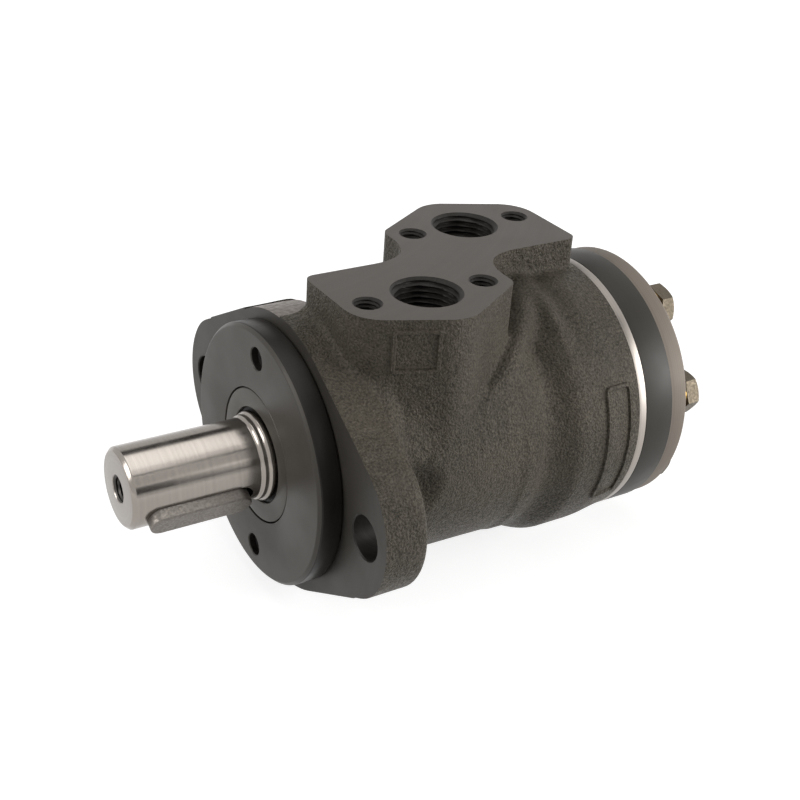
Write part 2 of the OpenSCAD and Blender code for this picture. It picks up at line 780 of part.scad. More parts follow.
housing();
front_cover();
cover_screws();
dust_seal_case();
dust_seal_lip();
shaft_seal();
seal_garter_spring();
front_o_ring();
thrust_race_front();
thrust_cage();
thrust_needles();
thrust_race_rear();
output_shaft();
shaft_key();
cardan_shaft();
cardan_spacer();
distributor_plate();
housing_o_ring();
plate_o_ring();
ring_o_ring();
gear_ring();
rotor_star();
end_cover();
end_cover_bolts();
sealing_washers();
drain_plug();
drain_washer();
check_ball_a();
check_ball_b();
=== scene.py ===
import math

import bmesh
import bpy
import numpy as np
from mathutils import Matrix, Vector


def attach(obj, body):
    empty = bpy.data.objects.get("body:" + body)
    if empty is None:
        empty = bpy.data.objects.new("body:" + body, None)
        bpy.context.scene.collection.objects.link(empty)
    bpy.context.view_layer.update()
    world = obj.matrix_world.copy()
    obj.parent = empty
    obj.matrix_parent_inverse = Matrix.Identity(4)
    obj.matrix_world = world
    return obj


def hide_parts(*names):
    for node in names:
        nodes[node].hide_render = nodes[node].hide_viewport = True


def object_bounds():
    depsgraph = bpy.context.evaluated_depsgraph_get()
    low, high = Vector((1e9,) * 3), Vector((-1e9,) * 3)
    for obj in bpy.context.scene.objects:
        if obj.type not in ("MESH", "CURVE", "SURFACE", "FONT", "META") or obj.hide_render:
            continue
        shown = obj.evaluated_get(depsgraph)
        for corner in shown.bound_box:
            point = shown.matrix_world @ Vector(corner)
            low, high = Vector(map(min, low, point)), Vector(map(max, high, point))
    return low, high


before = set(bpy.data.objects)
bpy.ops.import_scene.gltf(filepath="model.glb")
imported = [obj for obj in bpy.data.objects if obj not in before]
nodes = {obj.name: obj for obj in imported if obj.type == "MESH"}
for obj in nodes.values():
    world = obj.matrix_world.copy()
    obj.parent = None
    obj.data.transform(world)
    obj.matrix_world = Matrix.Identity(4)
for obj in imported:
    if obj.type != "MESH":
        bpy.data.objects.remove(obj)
cad_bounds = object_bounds()
MM = 0.001

# The view
# The camera stands where the photographer's stood: before the shaft's end, on the motor's near
# side and above it. Its place, roll and lens come from a fit to the photograph.
CAMERA_AT = Vector((166.6, 318.7, 216.8)) * MM
CAMERA_TOWARDS = Vector((-12.317, 47.355, 38.393)) * MM
CAMERA_ROLL = math.radians(4.115)
LENS_MM = 60.97

camera = bpy.data.objects.new("view_camera", bpy.data.cameras.new("view_camera"))
bpy.context.collection.objects.link(camera)
camera.data.sensor_width = 36
camera.data.lens = LENS_MM
camera.data.clip_start = 0.01
camera.data.dof.use_dof = False
look = (CAMERA_TOWARDS - CAMERA_AT).normalized()
level_right = look.cross(Vector((0, 0, 1))).normalized()
level_up = level_right.cross(look)
rolled_right = level_right * math.cos(CAMERA_ROLL) + level_up * math.sin(CAMERA_ROLL)
rolled_up = level_up * math.cos(CAMERA_ROLL) - level_right * math.sin(CAMERA_ROLL)
turned = Matrix((rolled_right, rolled_up, -look)).transposed().to_4x4()
camera.matrix_world = Matrix.Translation(CAMERA_AT) @ turned
bpy.context.scene.camera = camera
bpy.context.scene.view_settings.view_transform = "Standard"

# The studio
# A white floor, soft boxes above, on the near side and before the shaft, and dark cards. The floor
# glows a little less than white for what looks at it, and its lit paint makes up the rest, so that
# the motor's shadow stays on it. Farther off, past the shadow's reach, it is plain white.
FLOOR_Z = cad_bounds[0][2] / MM - 0.5
FLOOR_HALF, FLOOR_SHADE, FLOOR_ROUGH, FLOOR_SHEEN = 3000.0, 0.5, 0.9, 0.1
FLOOR_GLOW, SHADOW_REACH = 0.8, (0.2, 0.5)
SKY_SOFT, SKY_SEEN = 0.04, 1.0
WHITE = (1, 1, 1, 1)


def add_piece(name, verts, faces):
    """A mesh in metres from points in millimetres."""
    mesh = bpy.data.meshes.new(name)
    mesh.from_pydata((np.asarray(verts, float) * MM).tolist(), [], [list(map(int, f)) for f in faces])
    mesh.update()
    piece = bpy.data.objects.new(name, mesh)
    bpy.context.collection.objects.link(piece)
    return piece


def add_node(tree, kind, inputs=(), **settings):
    """A node with its settings, its input values and its links, where an input is a socket."""
    node = tree.nodes.new(kind)
    for key, value in settings.items():
        setattr(node, key, value)
    for key, value in dict(inputs).items():
        if isinstance(value, bpy.types.NodeSocket):
            tree.links.new(value, node.inputs[key])
        else:
            node.inputs[key].default_value = value
    return node


def spread(tree, value, low, high, to_low=0.0, to_high=1.0):
    """Maps a value's range onto another one."""
    return add_node(tree, "ShaderNodeMapRange", {"Value": value, "From Min": low, "From Max": high,
                                                 "To Min": to_low, "To Max": to_high}).outputs[0]


def calculate(tree, operation, *values):
    """The result of a math node."""
    return add_node(tree, "ShaderNodeMath", dict(enumerate(values)), operation=operation).outputs[0]


def object_place(tree):
    """A surface point's place in its piece's own space, in metres."""
    return add_node(tree, "ShaderNodeTexCoord").outputs["Object"]


def sees_backdrop(tree):
    """1 for camera, glossy and transmission rays, which see the backdrop as white; 0 for the rest."""
    rays = add_node(tree, "ShaderNodeLightPath").outputs
    mirrored = calculate(tree, "MAXIMUM", rays["Is Camera Ray"], rays["Is Glossy Ray"])
    return calculate(tree, "MAXIMUM", mirrored, rays["Is Transmission Ray"])


floor_corners = [(side * FLOOR_HALF, front * FLOOR_HALF, FLOOR_Z)
                 for side, front in ((-1, -1), (1, -1), (1, 1), (-1, 1))]
floor = add_piece("studio_floor", floor_corners, [(0, 1, 2, 3)])
floor_paint = bpy.data.materials.new("floor_paint")
floor_paint.use_nodes = True
tree = floor_paint.node_tree
paint = tree.nodes["Principled BSDF"]
paint.inputs["Base Color"].default_value = (FLOOR_SHADE, FLOOR_SHADE, FLOOR_SHADE, 1)
paint.inputs["Roughness"].default_value = FLOOR_ROUGH
paint.inputs["Specular IOR Level"].default_value = FLOOR_SHEEN
place = object_place(tree)
reach = add_node(tree, "ShaderNodeVectorMath", {0: place}, operation="LENGTH").outputs["Value"]
fade = spread(tree, reach, *SHADOW_REACH, FLOOR_GLOW, 1.0)
share = calculate(tree, "MULTIPLY", sees_backdrop(tree), fade)
glow = add_node(tree, "ShaderNodeEmission", {"Color": WHITE, "Strength": share}).outputs[0]
lit_and_glow = add_node(tree, "ShaderNodeAddShader", {0: paint.outputs[0], 1: glow}).outputs[0]
tree.links.new(lit_and_glow, tree.nodes["Material Output"].inputs["Surface"])
floor.data.materials.append(floor_paint)

world = bpy.data.worlds.new("studio_world")
bpy.context.scene.world = world
world.use_nodes = True
tree = world.node_tree
soft = tree.nodes["Background"]
soft.inputs["Color"].default_value = WHITE
soft.inputs["Strength"].default_value = SKY_SOFT
seen = add_node(tree, "ShaderNodeBackground", {"Color": WHITE, "Strength": SKY_SEEN}).outputs[0]
sky = add_node(tree, "ShaderNodeMixShader", {0: sees_backdrop(tree), 1: soft.outputs[0], 2: seen}).outputs[0]
tree.links.new(sky, tree.nodes["World Output"].inputs["Surface"])


def soft_box(name, at, towards, size, watts):
    """A rectangular studio light that faces a point; places and sizes in metres."""
    lamp = bpy.data.lights.new(name, "AREA")
    lamp.shape = "RECTANGLE"
    lamp.size, lamp.size_y = size
    lamp.energy = watts
    box = bpy.data.objects.new(name, lamp)
    bpy.context.collection.objects.link(box)
    aim = (Vector(towards) - Vector(at)).to_track_quat("-Z", "Y")
    box.matrix_world = Matrix.Translation(at) @ aim.to_matrix().to_4x4()


MOTOR_MIDDLE = (-0.05, 0, 0)
soft_box("light_above", (-0.06, 0, 0.95), MOTOR_MIDDLE, (1.5, 0.45), 4.2)
soft_box("light_near_side", (-0.74, 0.56, 0.21), MOTOR_MIDDLE, (0.45, 0.45), 6.2)
soft_box("light_front", (0.82, -0.10, 0.48), MOTOR_MIDDLE, (0.45, 0.45), 3.6)
soft_box("light_strip", (-0.32, 0.83, 0.32), (0.02, 0, 0), (0.3, 0.3), 0.4)

# Dark cards beside the soft boxes. No camera sees them and they throw no shadow, but polished faces
# mirror them: they are the dark streaks along the ground shaft. A span holds a card's two long edges
# in degrees round the shaft, counted upwards from the near side.
CARD_FAR, CARD_LEN, CARD_SHADE, CARD_ROUGH = 1200.0, 1100.0, 0.02, 0.9
CARD_LEAN, CARD_FROM_X = math.asin(0.334), 40.0
CARD_SPANS = ((7, 25), (53, 73), (120, 143))

card_verts, card_faces = [], []
card_middle_x = CARD_FROM_X - CARD_FAR * math.sin(CARD_LEAN)
card_reach = CARD_FAR * math.cos(CARD_LEAN)
for span in CARD_SPANS:
    first = len(card_verts)
    for along, edge in ((-1, 0), (1, 0), (1, 1), (-1, 1)):
        angle = math.radians(span[edge])
        card_verts.append((card_middle_x + along * CARD_LEN / 2,
                           card_reach * math.cos(angle), card_reach * math.sin(angle)))
    card_faces.append((first, first + 1, first + 2, first + 3))
cards = add_piece("dark_cards", card_verts, card_faces)
cards.visible_camera = cards.visible_diffuse = cards.visible_shadow = False
card_paint = bpy.data.materials.new("card_paint")
card_paint.use_nodes = True
paint = card_paint.node_tree.nodes["Principled BSDF"]
paint.inputs["Base Color"].default_value = (CARD_SHADE, CARD_SHADE, CARD_SHADE, 1)
paint.inputs["Roughness"].default_value = CARD_ROUGH
cards.data.materials.append(card_paint)

# The casting
# One piece of grey cast iron: oval flange, barrel, drum, oil ridges and port block. It is cast in
# a sand mould, so its skin is grainy and its inner corners are round. Then it is machined: flange
# face, port face, rear face, bores, spot faces and threads.
HOUSING_LEN = 107.0
FLANGE_T, FLANGE_LEN, FLANGE_WAIST_R, EAR_R = 14.0, 130.0, 45.0, 25.2
FLANGE_EDGE_ANGLE, EAR_FROM_END, EAR_BLEND = math.radians(60.2), 15.0, 1.0
FLANGE_SPAN, FLANGE_HOLE_R = 106.4, 6.75
BARREL_R, STACK_R = 41.0, 44.25
PORT_Z, PORT_MID_X, PORT_STEP, PORT_SIDE = 55.0, -57.0, 20.0, 20.0
LOBE_LEN, LOBE_REACH, LOBE_INSET = 56.5, 40.0, 3.7
DRAIN_X, DRAIN_ANGLE, DRAIN_BOSS_R, DRAIN_BOSS_END = -24.0, math.radians(50), 11.0, 44.0
STACK_BOLT_R, STACK_BOLTS, FIRST_BOLT = 34.3, 7, math.radians(-91.5)
NET_STEP, PROBE, LEAST_SLOPE, LONGEST_SHIFT = 0.96, 0.02, 0.2, 0.3


def surface_net(field, low, step):
    """Quads where a sampled field changes sign, with one vertex in each cell that the surface cuts."""
    cells = tuple(n - 1 for n in field.shape)
    total = np.zeros(cells + (3,))
    count = np.zeros(cells)
    crossings = []
    for axis in range(3):
        start = [slice(None)] * 3
        end = [slice(None)] * 3
        start[axis], end[axis] = slice(0, -1), slice(1, None)
        a, b = field[tuple(start)], field[tuple(end)]
        index = np.argwhere((a < 0) != (b < 0))
        index = index[(index > 0).all(1) & (index < np.array(cells)).all(1)]
        va, vb = a[tuple(index.T)], b[tuple(index.T)]
        point = index.astype(float)
        point[:, axis] += va / (va - vb)
        u_axis, v_axis = [k for k in range(3) if k != axis]
        corners = []
        for du, dv in ((0, 0), (1, 0), (1, 1), (0, 1)):
            cell = index.copy()
            cell[:, u_axis] -= du
            cell[:, v_axis] -= dv
            np.add.at(total, tuple(cell.T), point)
            np.add.at(count, tuple(cell.T), 1)
            corners.append(cell)
        crossings.append((corners, (va < 0) if axis != 1 else (va >= 0)))
    used = np.argwhere(count > 0)
    number = np.full(cells, -1)
    number[tuple(used.T)] = np.arange(len(used))
    verts = total[tuple(used.T)] / count[tuple(used.T)][:, None] * step + np.array(low)
    faces = []
    for corners, outwards in crossings:
        quad = np.stack([number[tuple(cell.T)] for cell in corners], 1)
        faces.append(np.where(outwards[:, None], quad, quad[:, ::-1]))
    return verts, np.concatenate(faces)


def blend_in(a, b, fillet):
    """Joins two forms with a round inner corner."""
    h = np.clip(0.5 + 0.5 * (b - a) / fillet, 0, 1)
    return b * (1 - h) + a * h - fillet * h * (1 - h)


def polygon_distance(points, u, v):
    """Signed distance to a closed outline, negative inside."""
    points = np.array(points, float)
    best, winding = 1e9, False
    for (au, av), (bu, bv) in zip(points, np.roll(points, -1, axis=0)):
        eu, ev = bu - au, bv - av
        t = np.clip(((u - au) * eu + (v - av) * ev) / (eu * eu + ev * ev), 0, 1)
        best = np.minimum(best, (u - au - t * eu) ** 2 + (v - av - t * ev) ** 2)
        crosses = (av <= v) != (bv <= v)
        winding = winding ^ (crosses & (u < au + (v - av) * eu / (ev or 1e-9)))
    return np.where(winding, -1, 1) * np.sqrt(best)


HULL_STEPS = 40


def round_hull(circles):
    """Outline of a band stretched round circles given as (u, v, radius)."""
    turns = [2 * math.pi * k / HULL_STEPS for k in range(HULL_STEPS)]
    cloud = sorted((cu + r * math.cos(a), cv + r * math.sin(a)) for cu, cv, r in circles for a in turns)
    outline = []
    for path in (cloud, cloud[::-1]):
        half = []
        for p in path:
            while len(half) > 1 and ((half[-1][0] - half[-2][0]) * (p[1] - half[-2][1])
                                     <= (half[-1][1] - half[-2][1]) * (p[0] - half[-2][0])):
                half.pop()
            half.append(p)
        outline += half[:-1]
    return outline


def rounded_slab(outline, across, edge):
    """An outline given as a distance, cut to a thickness, with its edges rounded."""
    a, b = outline + edge, across + edge
    return np.minimum(np.maximum(a, b), 0) + np.hypot(np.maximum(a, 0), np.maximum(b, 0)) - edge


def flange_distance(y, z):
    """The flange's outline: a round waist, straight edges tangent to it, and round ears."""
    waist = np.hypot(y, z) - FLANGE_WAIST_R
    straight = (np.abs(y) * math.cos(FLANGE_EDGE_ANGLE) + np.abs(z) * math.sin(FLANGE_EDGE_ANGLE)
                - FLANGE_WAIST_R)
    round_end = np.hypot(np.abs(y) - (FLANGE_LEN / 2 - EAR_R), z) - EAR_R
    ears = np.minimum(round_end, np.abs(y) - (FLANGE_LEN / 2 - EAR_FROM_END))
    diamond = -blend_in(-straight, -ears, EAR_BLEND)
    middle = np.abs(y) < FLANGE_WAIST_R * math.cos(FLANGE_EDGE_ANGLE)
    return np.where(middle, waist, np.minimum(diamond, waist))


def smooth_step(t):
    """Eases from 0 to 1."""
    t = np.clip(t, 0, 1)
    return t * t * (3 - 2 * t)


LOBE_FRONT = PORT_MID_X + LOBE_LEN - 8.3
LOBE_BACK = LOBE_FRONT - LOBE_LEN
LOBE_END_R, LOBE_FRONT_R, LOBE_SIDE_R, LOBE_REAR_R = 3.2, 12, 11.6, 5
LOBE_CIRCLES = [(LOBE_FRONT - LOBE_END_R, LOBE_END_R - LOBE_INSET, LOBE_END_R),
                (LOBE_FRONT - LOBE_FRONT_R, LOBE_REACH - 19.2, LOBE_FRONT_R),
                (LOBE_FRONT - 28.8, LOBE_REACH - LOBE_SIDE_R, LOBE_SIDE_R),
                (LOBE_BACK + LOBE_REAR_R, LOBE_REACH - 17.8, LOBE_REAR_R),
                (LOBE_BACK + LOBE_END_R, LOBE_END_R - LOBE_INSET, LOBE_END_R)]
LOBE = round_hull(LOBE_CIRCLES)

# The ridge's crest slants back and upwards to the drum. A steep form grows too fast across its
# surface to be a distance, and its ease makes up for that.
RIDGE_RISE, RIDGE_FRONT, RIDGE_FALL, VALLEY_X = 4.7, 7.0, 4.2, -72.0
RIDGE_LOW_X, RIDGE_SLANT, RIDGE_WRAP, RIDGE_LAP = PORT_MID_X + 43, 67.4, 1.15, 0.3
RIDGE_END, RIDGE_START, RIDGE_EASE = -95.0, -8.0, 0.8


def ridge(x, y, z):
    """The ridge of one side, where an oil channel runs from the port to the rear; it lies at y > 0."""
    angle = np.arctan2(z, np.maximum(y, 0.01))
    crest_x = RIDGE_LOW_X - RIDGE_SLANT * np.sin(angle)
    past_crest = x - crest_x
    round_side = np.clip(RIDGE_WRAP * angle, -math.pi / 2, math.pi / 2)
    crest = BARREL_R + RIDGE_LAP + RIDGE_RISE * np.sin(round_side)
    reach = np.where(past_crest > 0, RIDGE_FRONT, np.maximum(crest_x - VALLEY_X, RIDGE_FRONT))
    fall = np.where(past_crest > 0, RIDGE_FALL, crest - BARREL_R)
    r = crest - fall * (past_crest / reach) ** 2
    flanks = np.maximum((np.hypot(y, z) - r) * RIDGE_EASE, -y)
    return np.maximum(flanks, np.maximum(RIDGE_END - x, x - RIDGE_START))


# The shoulder rises from a foot at the barrel's middle, is lower towards the rear, and its front end
# is rounded off like a nose.
SHOULDER_RISE, SHOULDER_FALL, SHOULDER_ANGLE = 5.4, 2.8, math.radians(46)
SHOULDER_X, SHOULDER_RUN, SHOULDER_FOOT, FOOT_ANGLE = -16.0, 6.0, 2.5, 0.25
SHOULDER_END, SHOULDER_START, SHOULDER_EASE = -50.0, -12.0, 0.85
NOSE_FALL, NOSE_POWER = 0.6, 1.3


def shoulder(x, y, z):
    """The barrel's thicker side between the flange and the ridge; the column's wall cuts a V out of it."""
    angle = np.arctan2(z, np.maximum(y, 0.01))
    rise = SHOULDER_RISE - SHOULDER_FALL * smooth_step((SHOULDER_X - x) / SHOULDER_RUN)
    foot = SHOULDER_FOOT * (1 - smooth_step(angle / FOOT_ANGLE))
    r = BARREL_R + rise * smooth_step(angle / SHOULDER_ANGLE) - foot
    front = np.hypot(y, z) - r + NOSE_FALL * np.maximum(x - SHOULDER_X + 0.5, 0) ** NOSE_POWER
    front *= SHOULDER_EASE
    return np.maximum(np.maximum(front, -y), np.maximum(x - SHOULDER_START, SHOULDER_END - x))


DRUM_X, DRUM_RUN, DRUM_RISE, DRUM_SET_BACK = -69.0, 13.0, 4.7, 2.5
TAPER_X, TAPER_RUN, TAPER = -92.0, 17.0, 1.5


def drum_swell(x, near_top):
    """How far the drum stands out of the barrel before its soft rim: it swells and then tapers."""
    swell = DRUM_RISE * smooth_step((DRUM_X - DRUM_SET_BACK * near_top - x) / DRUM_RUN)
    return swell - TAPER * smooth_step((TAPER_X - x) / TAPER_RUN)


TOP_FROM_Z, TOP_RUN, VALLEY_WIDTH = -34.0, 20.0, 4.0
RIM_LIFT, RIM_FROM_Z, RIM_RUN = 0.9, 31.0, 9.0
RIM_CREST_X, RIM_CREST_WIDTH, RIM_DIP_X, RIM_DIP_WIDTH = -82.5, 2.6, -88.0, 3.0
BLOCK_LOW, BLOCK_HIGH, BLOCK_EDGE, FLANGE_EDGE = 8.0, 60.0, 1.5, 1.8
HEAD_ROOM_R, HEAD_ROOM_END, HEAD_ROOM_Z = 15.3, -22.5, 2.0
FILLET, SHOULDER_FILLET, BLOCK_FILLET, PORTS_FILLET, HEAD_ROOM_FILLET = 3.0, 2.0, 2.2, 16.0, 1.6


def casting_field(x, y, z):
    """Distance to the rough casting, negative inside. It runs past each face that is machined later."""
    ring = np.hypot(y, z)
    barrel = np.maximum(ring - BARREL_R, np.maximum(x - 2, DRUM_X - x))
    near_top = smooth_step((z - TOP_FROM_Z) / TOP_RUN)
    rim = (np.exp(-((x - RIM_CREST_X) / RIM_CREST_WIDTH) ** 2)
           - np.exp(-((x - RIM_DIP_X) / RIM_DIP_WIDTH) ** 2))
    swell = drum_swell(x, near_top)
    swell -= RIM_LIFT * near_top * np.exp(-((x - VALLEY_X) / VALLEY_WIDTH) ** 2)
    swell += RIM_LIFT * smooth_step((z - RIM_FROM_Z) / RIM_RUN) * rim
    drum = np.maximum(ring - BARREL_R - swell, np.maximum(x - DRUM_X - 3, -HOUSING_LEN - 4 - x))
    body = blend_in(barrel, drum, FILLET)
    for side in (1, -1):
        along = x if side > 0 else 2 * PORT_MID_X - x
        body = blend_in(body, ridge(along, side * y, z), FILLET)
        body = blend_in(body, shoulder(along, side * y, z), SHOULDER_FILLET)
    # The port block: two halves round the two ports, with wide inner corners
    near = polygon_distance(LOBE, x, y)
    far = polygon_distance([(2 * PORT_MID_X - px, -py) for px, py in LOBE], x, y)
    height = np.abs(z - (BLOCK_LOW + BLOCK_HIGH) / 2) - (BLOCK_HIGH - BLOCK_LOW) / 2
    block = rounded_slab(blend_in(near, far, PORTS_FILLET), height, BLOCK_EDGE)
    body = blend_in(body, block, BLOCK_FILLET)
    # The flange, which runs past its mounting face until that is machined
    thickness = np.abs(x + FLANGE_T / 2 - 3) - FLANGE_T / 2 - 3
    plate = rounded_slab(flange_distance(y, z), thickness, FLANGE_EDGE)
    body = blend_in(body, plate, FILLET)
    # Room for the flange bolts' heads, and the drain's boss
    from_bolt = np.hypot(np.abs(y) - FLANGE_SPAN / 2, z - HEAD_ROOM_Z)
    head_room = np.hypot(np.maximum(HEAD_ROOM_END - x, 0), from_bolt) - HEAD_ROOM_R
    body = np.where(x < -FLANGE_T, -blend_in(-body, head_room, HEAD_ROOM_FILLET), body)
    out = -y * math.cos(DRAIN_ANGLE) - z * math.sin(DRAIN_ANGLE)
    across = y * math.sin(DRAIN_ANGLE) - z * math.cos(DRAIN_ANGLE)
    boss = np.maximum(np.hypot(x - DRAIN_X, across) - DRAIN_BOSS_R, np.maximum(-out, out - DRAIN_BOSS_END))
    return blend_in(body, boss, FILLET)


net_low, net_high = (-116.0, -68.0, -52.0), (10.0, 68.0, 63.0)
sides = [np.arange(a, b, NET_STEP) for a, b in zip(net_low, net_high)]
grid = (sides[0][:, None, None], sides[1][None, :, None], sides[2][None, None, :])
net_verts, net_faces = surface_net(casting_field(*grid), net_low, NET_STEP)
# The vertices are drawn onto the true surface along the field's slope
for _ in range(2):
    here = casting_field(*net_verts.T)
    slope = np.stack([(casting_field(*(net_verts + step).T) - here) / PROBE
                      for step in np.eye(3) * PROBE], 1)
    shift = here[:, None] * slope / np.maximum((slope ** 2).sum(1), LEAST_SLOPE)[:, None]
    net_verts -= np.clip(shift, -LONGEST_SHIFT, LONGEST_SHIFT)
casting = add_piece("housing_casting", net_verts, net_faces)


def turned_tool(profile, at=(0, 0, 0), axis="X", steps=96):
    """A closed turned form from (radius, height) points; a radius may be a function of angle and height."""
    verts, faces = [], []
    rows = len(profile)
    for k in range(steps):
        a = 2 * math.pi * k / steps
        for r, h in profile:
            r = r(a, h) if callable(r) else r
            c, s = r * math.cos(a), r * math.sin(a)
            local = {"X": (h, c, s), "Y": (s, h, c), "Z": (c, s, h)}[axis]
            verts.append([p + q for p, q in zip(at, local)])
    for k in range(steps):
        n = (k + 1) % steps
        for j in range(rows - 1):
            faces.append((k * rows + j, n * rows + j, n * rows + j + 1, k * rows + j + 1))
    faces.append([k * rows for k in range(steps)][::-1])
    faces.append([k * rows + rows - 1 for k in range(steps)])
    return verts, faces


def round_holes(circle_r, r, x_low, x_high, start, steps=40):
    """Seven round cutters on a circle about the motor axis."""
    return [turned_tool([(r, x_low), (r, x_high)],
                        (0, circle_r * math.cos(start + 2 * math.pi * k / STACK_BOLTS),
                         circle_r * math.sin(start + 2 * math.pi * k / STACK_BOLTS)), "X", steps)
            for k in range(STACK_BOLTS)]


def block_tool(low, high):
    """A plain block-shaped cutter."""
    corners = [[(low[0], high[0])[i], (low[1], high[1])[j], (low[2], high[2])[k]]
               for i in (0, 1) for j in (0, 1) for k in (0, 1)]
    return corners, [(0, 1, 3, 2), (4, 6, 7, 5), (0, 4, 5, 1), (2, 3, 7, 6), (0, 2, 6, 4), (1, 5, 7, 3)]


FLANK_SLOPE, FLANK_START, ROWS_PER_PITCH = 2.6, 0.35, 9


def thread_tool(at, major_r, core_r, pitch, depth, rise, steps, axis="Z"):
    """Cutter for a threaded hole that opens towards +axis: a helical groove and a chamfered mouth."""
    def radius(angle, h):
        turn = (h / pitch - angle / (2 * math.pi)) % 1.0
        flank = np.clip(abs(turn - 0.5) * FLANK_SLOPE - FLANK_START, 0, 1)
        full = core_r + (major_r - core_r) * (1 - flank)
        return max(full, major_r + 0.5 + h) if h > -2.0 else full
    heights = np.arange(-depth, 0, pitch / ROWS_PER_PITCH).tolist() + [0.0, rise]
    below = [(core_r * 0.55, -depth - core_r * 0.25), (core_r * 0.98, -depth - 0.1)]
    return turned_tool(below + [(radius, h) for h in heights], at, axis, steps)


def machine(piece, tools, operation="DIFFERENCE"):
    """Cuts each tool out of the piece, or joins it on, one after the other."""
    for tool_verts, tool_faces in tools:
        tool = add_piece("tool", tool_verts, tool_faces)
        work = bmesh.new()
        work.from_mesh(tool.data)
        bmesh.ops.recalc_face_normals(work, faces=work.faces)
        work.to_mesh(tool.data)
        work.free()
        cut = piece.modifiers.new("cut", "BOOLEAN")
        cut.operation = operation
        cut.solver = "MANIFOLD"
        cut.object = tool
        ready = bpy.data.meshes.new_from_object(piece.evaluated_get(bpy.context.evaluated_depsgraph_get()))
        piece.modifiers.remove(cut)
        old = piece.data
        piece.data = ready
        bpy.data.meshes.remove(old)
        bpy.data.objects.remove(tool)
    piece.data.name = piece.name


def as_tool(piece):
    """Takes a piece that was only made to cut with, and gives its points and faces as a tool."""
    form = ([tuple(v.co / MM) for v in piece.data.vertices], [list(p.vertices) for p in piece.data.polygons])
    bpy.data.objects.remove(piece)
    return form


FRAME_FOOT, FRAME_STEP = 0.8, 0.8


def raised_frame(path, normals, width, height):
    """A closed bead along a path, as a pattern maker's frame stands on a casting."""
    path, normals = np.array(path, float), np.array(normals, float)
    along = np.roll(path, -1, axis=0) - np.roll(path, 1, axis=0)
    along /= np.linalg.norm(along, axis=1)[:, None]
    across = np.cross(along, normals)
    section = [(-0.5, -FRAME_FOOT), (-0.5, 0), (-0.3, height), (0.3, height), (0.5, 0), (0.5, -FRAME_FOOT)]
    rows = len(section)
    verts = [p + a * u * width + n * v for p, a, n in zip(path, across, normals) for u, v in section]
    faces = []
    for k in range(len(path)):
        n = (k + 1) % len(path)
        faces += [(k * rows + j, n * rows + j, n * rows + (j + 1) % rows, k * rows + (j + 1) % rows)
                  for j in range(rows)]
    return verts, faces


def frame_path(half_u, half_v, corner):
    """Points round a rectangle with round corners."""
    points = []
    for cu, cv, start in ((1, 1, 0), (-1, 1, 90), (-1, -1, 180), (1, -1, 270)):
        for k in range(7):
            a = math.radians(start + 15 * k)
            points.append((cu * (half_u - corner) + corner * math.cos(a),
                           cv * (half_v - corner) + corner * math.sin(a)))
    dense = []
    for p, q in zip(points, points[1:] + points[:1]):
        parts = max(1, round(math.dist(p, q) / FRAME_STEP))
        dense += [(p[0] + (q[0] - p[0]) * k / parts, p[1] + (q[1] - p[1]) * k / parts) for k in range(parts)]
    return dense


# The bare frame on the drum's near side
DRUM_FRAME_X, DRUM_FRAME_HALF_X, DRUM_FRAME_HALF_ARC, DRUM_FRAME_R = -98.2, 4.8, 20.5, 45.4
drum_path, drum_normals = [], []
for u, v in frame_path(DRUM_FRAME_HALF_X, DRUM_FRAME_HALF_ARC, 1.6):
    fx = DRUM_FRAME_X + u
    fr = BARREL_R + float(drum_swell(fx, 0))
    a = v / DRUM_FRAME_R
    drum_path.append((fx, fr * math.cos(a), fr * math.sin(a)))
    drum_normals.append((0, math.cos(a), math.sin(a)))
# The bare square frame on the flat of the port block, between its two front corners
PORT_FRAME_HALF_U, PORT_FRAME_HALF_V, PORT_FRAME_DROP = 6.6, 6.2, 10.0
low_corner, high_corner = np.array(LOBE_CIRCLES[1]), np.array(LOBE_CIRCLES[2])
flat_run = np.linalg.norm((high_corner - low_corner)[:2])
flat_angle = (math.atan2(*(high_corner - low_corner)[1::-1])
              + math.asin((low_corner[2] - high_corner[2]) / flat_run))
flat_u = np.array([math.cos(flat_angle), math.sin(flat_angle), 0])
flat_n = np.array([math.sin(flat_angle), -math.cos(flat_angle), 0])
flat_mid = (np.array([*low_corner[:2], PORT_Z - PORT_FRAME_DROP]) + flat_n * low_corner[2]
            + flat_u * flat_run / 2)
port_path = [flat_mid + flat_u * u + np.array([0, 0, v])
             for u, v in frame_path(PORT_FRAME_HALF_U, PORT_FRAME_HALF_V, 0.8)]
machine(casting, [raised_frame(drum_path, drum_normals, 1.7, 0.75),
                  raised_frame(port_path, [flat_n] * len(port_path), 1.5, 0.6)], "UNION")

# What is cut into the casting: ports, bracket threads, bolt holes, the stepped bore, the seats of
# the flange bolts' heads, the case drain and the ground patch. PAST values run out of the casting.
PORT_MAJOR_R, PORT_CORE_R, PORT_PITCH, PORT_DEPTH = 10.48, 9.32, 1.814, 18.0
BRACKET_MAJOR_R, BRACKET_CORE_R, BRACKET_PITCH, BRACKET_DEPTH = 4.0, 3.4, 1.25, 13.0
BRACKET_STEP, BOLT_HOLE_R, BOLT_HOLE_END = 20.0, 4.05, -90.0
BORE_R, GROOVE_R, GROOVE_HALF, HEAD_SEAT_R, HEAD_SEAT_REACH = 19.03, 23.0, 5.5, 11.75, 12.0
DRAIN_HOLE_R, DRAIN_HOLE_END, EAR_CHAMFER = 5.95, -32.0, 0.35
PAST, PAST_FRONT, PAST_REAR = 80.0, 12.0, -120.0
PORT_WELL_R, PORT_WELL_LOW, PORT_WELL_SIDE = 5.0, 17.0, 11.0
ports = [(PORT_MID_X + PORT_STEP, PORT_SIDE), (PORT_MID_X - PORT_STEP, -PORT_SIDE)]
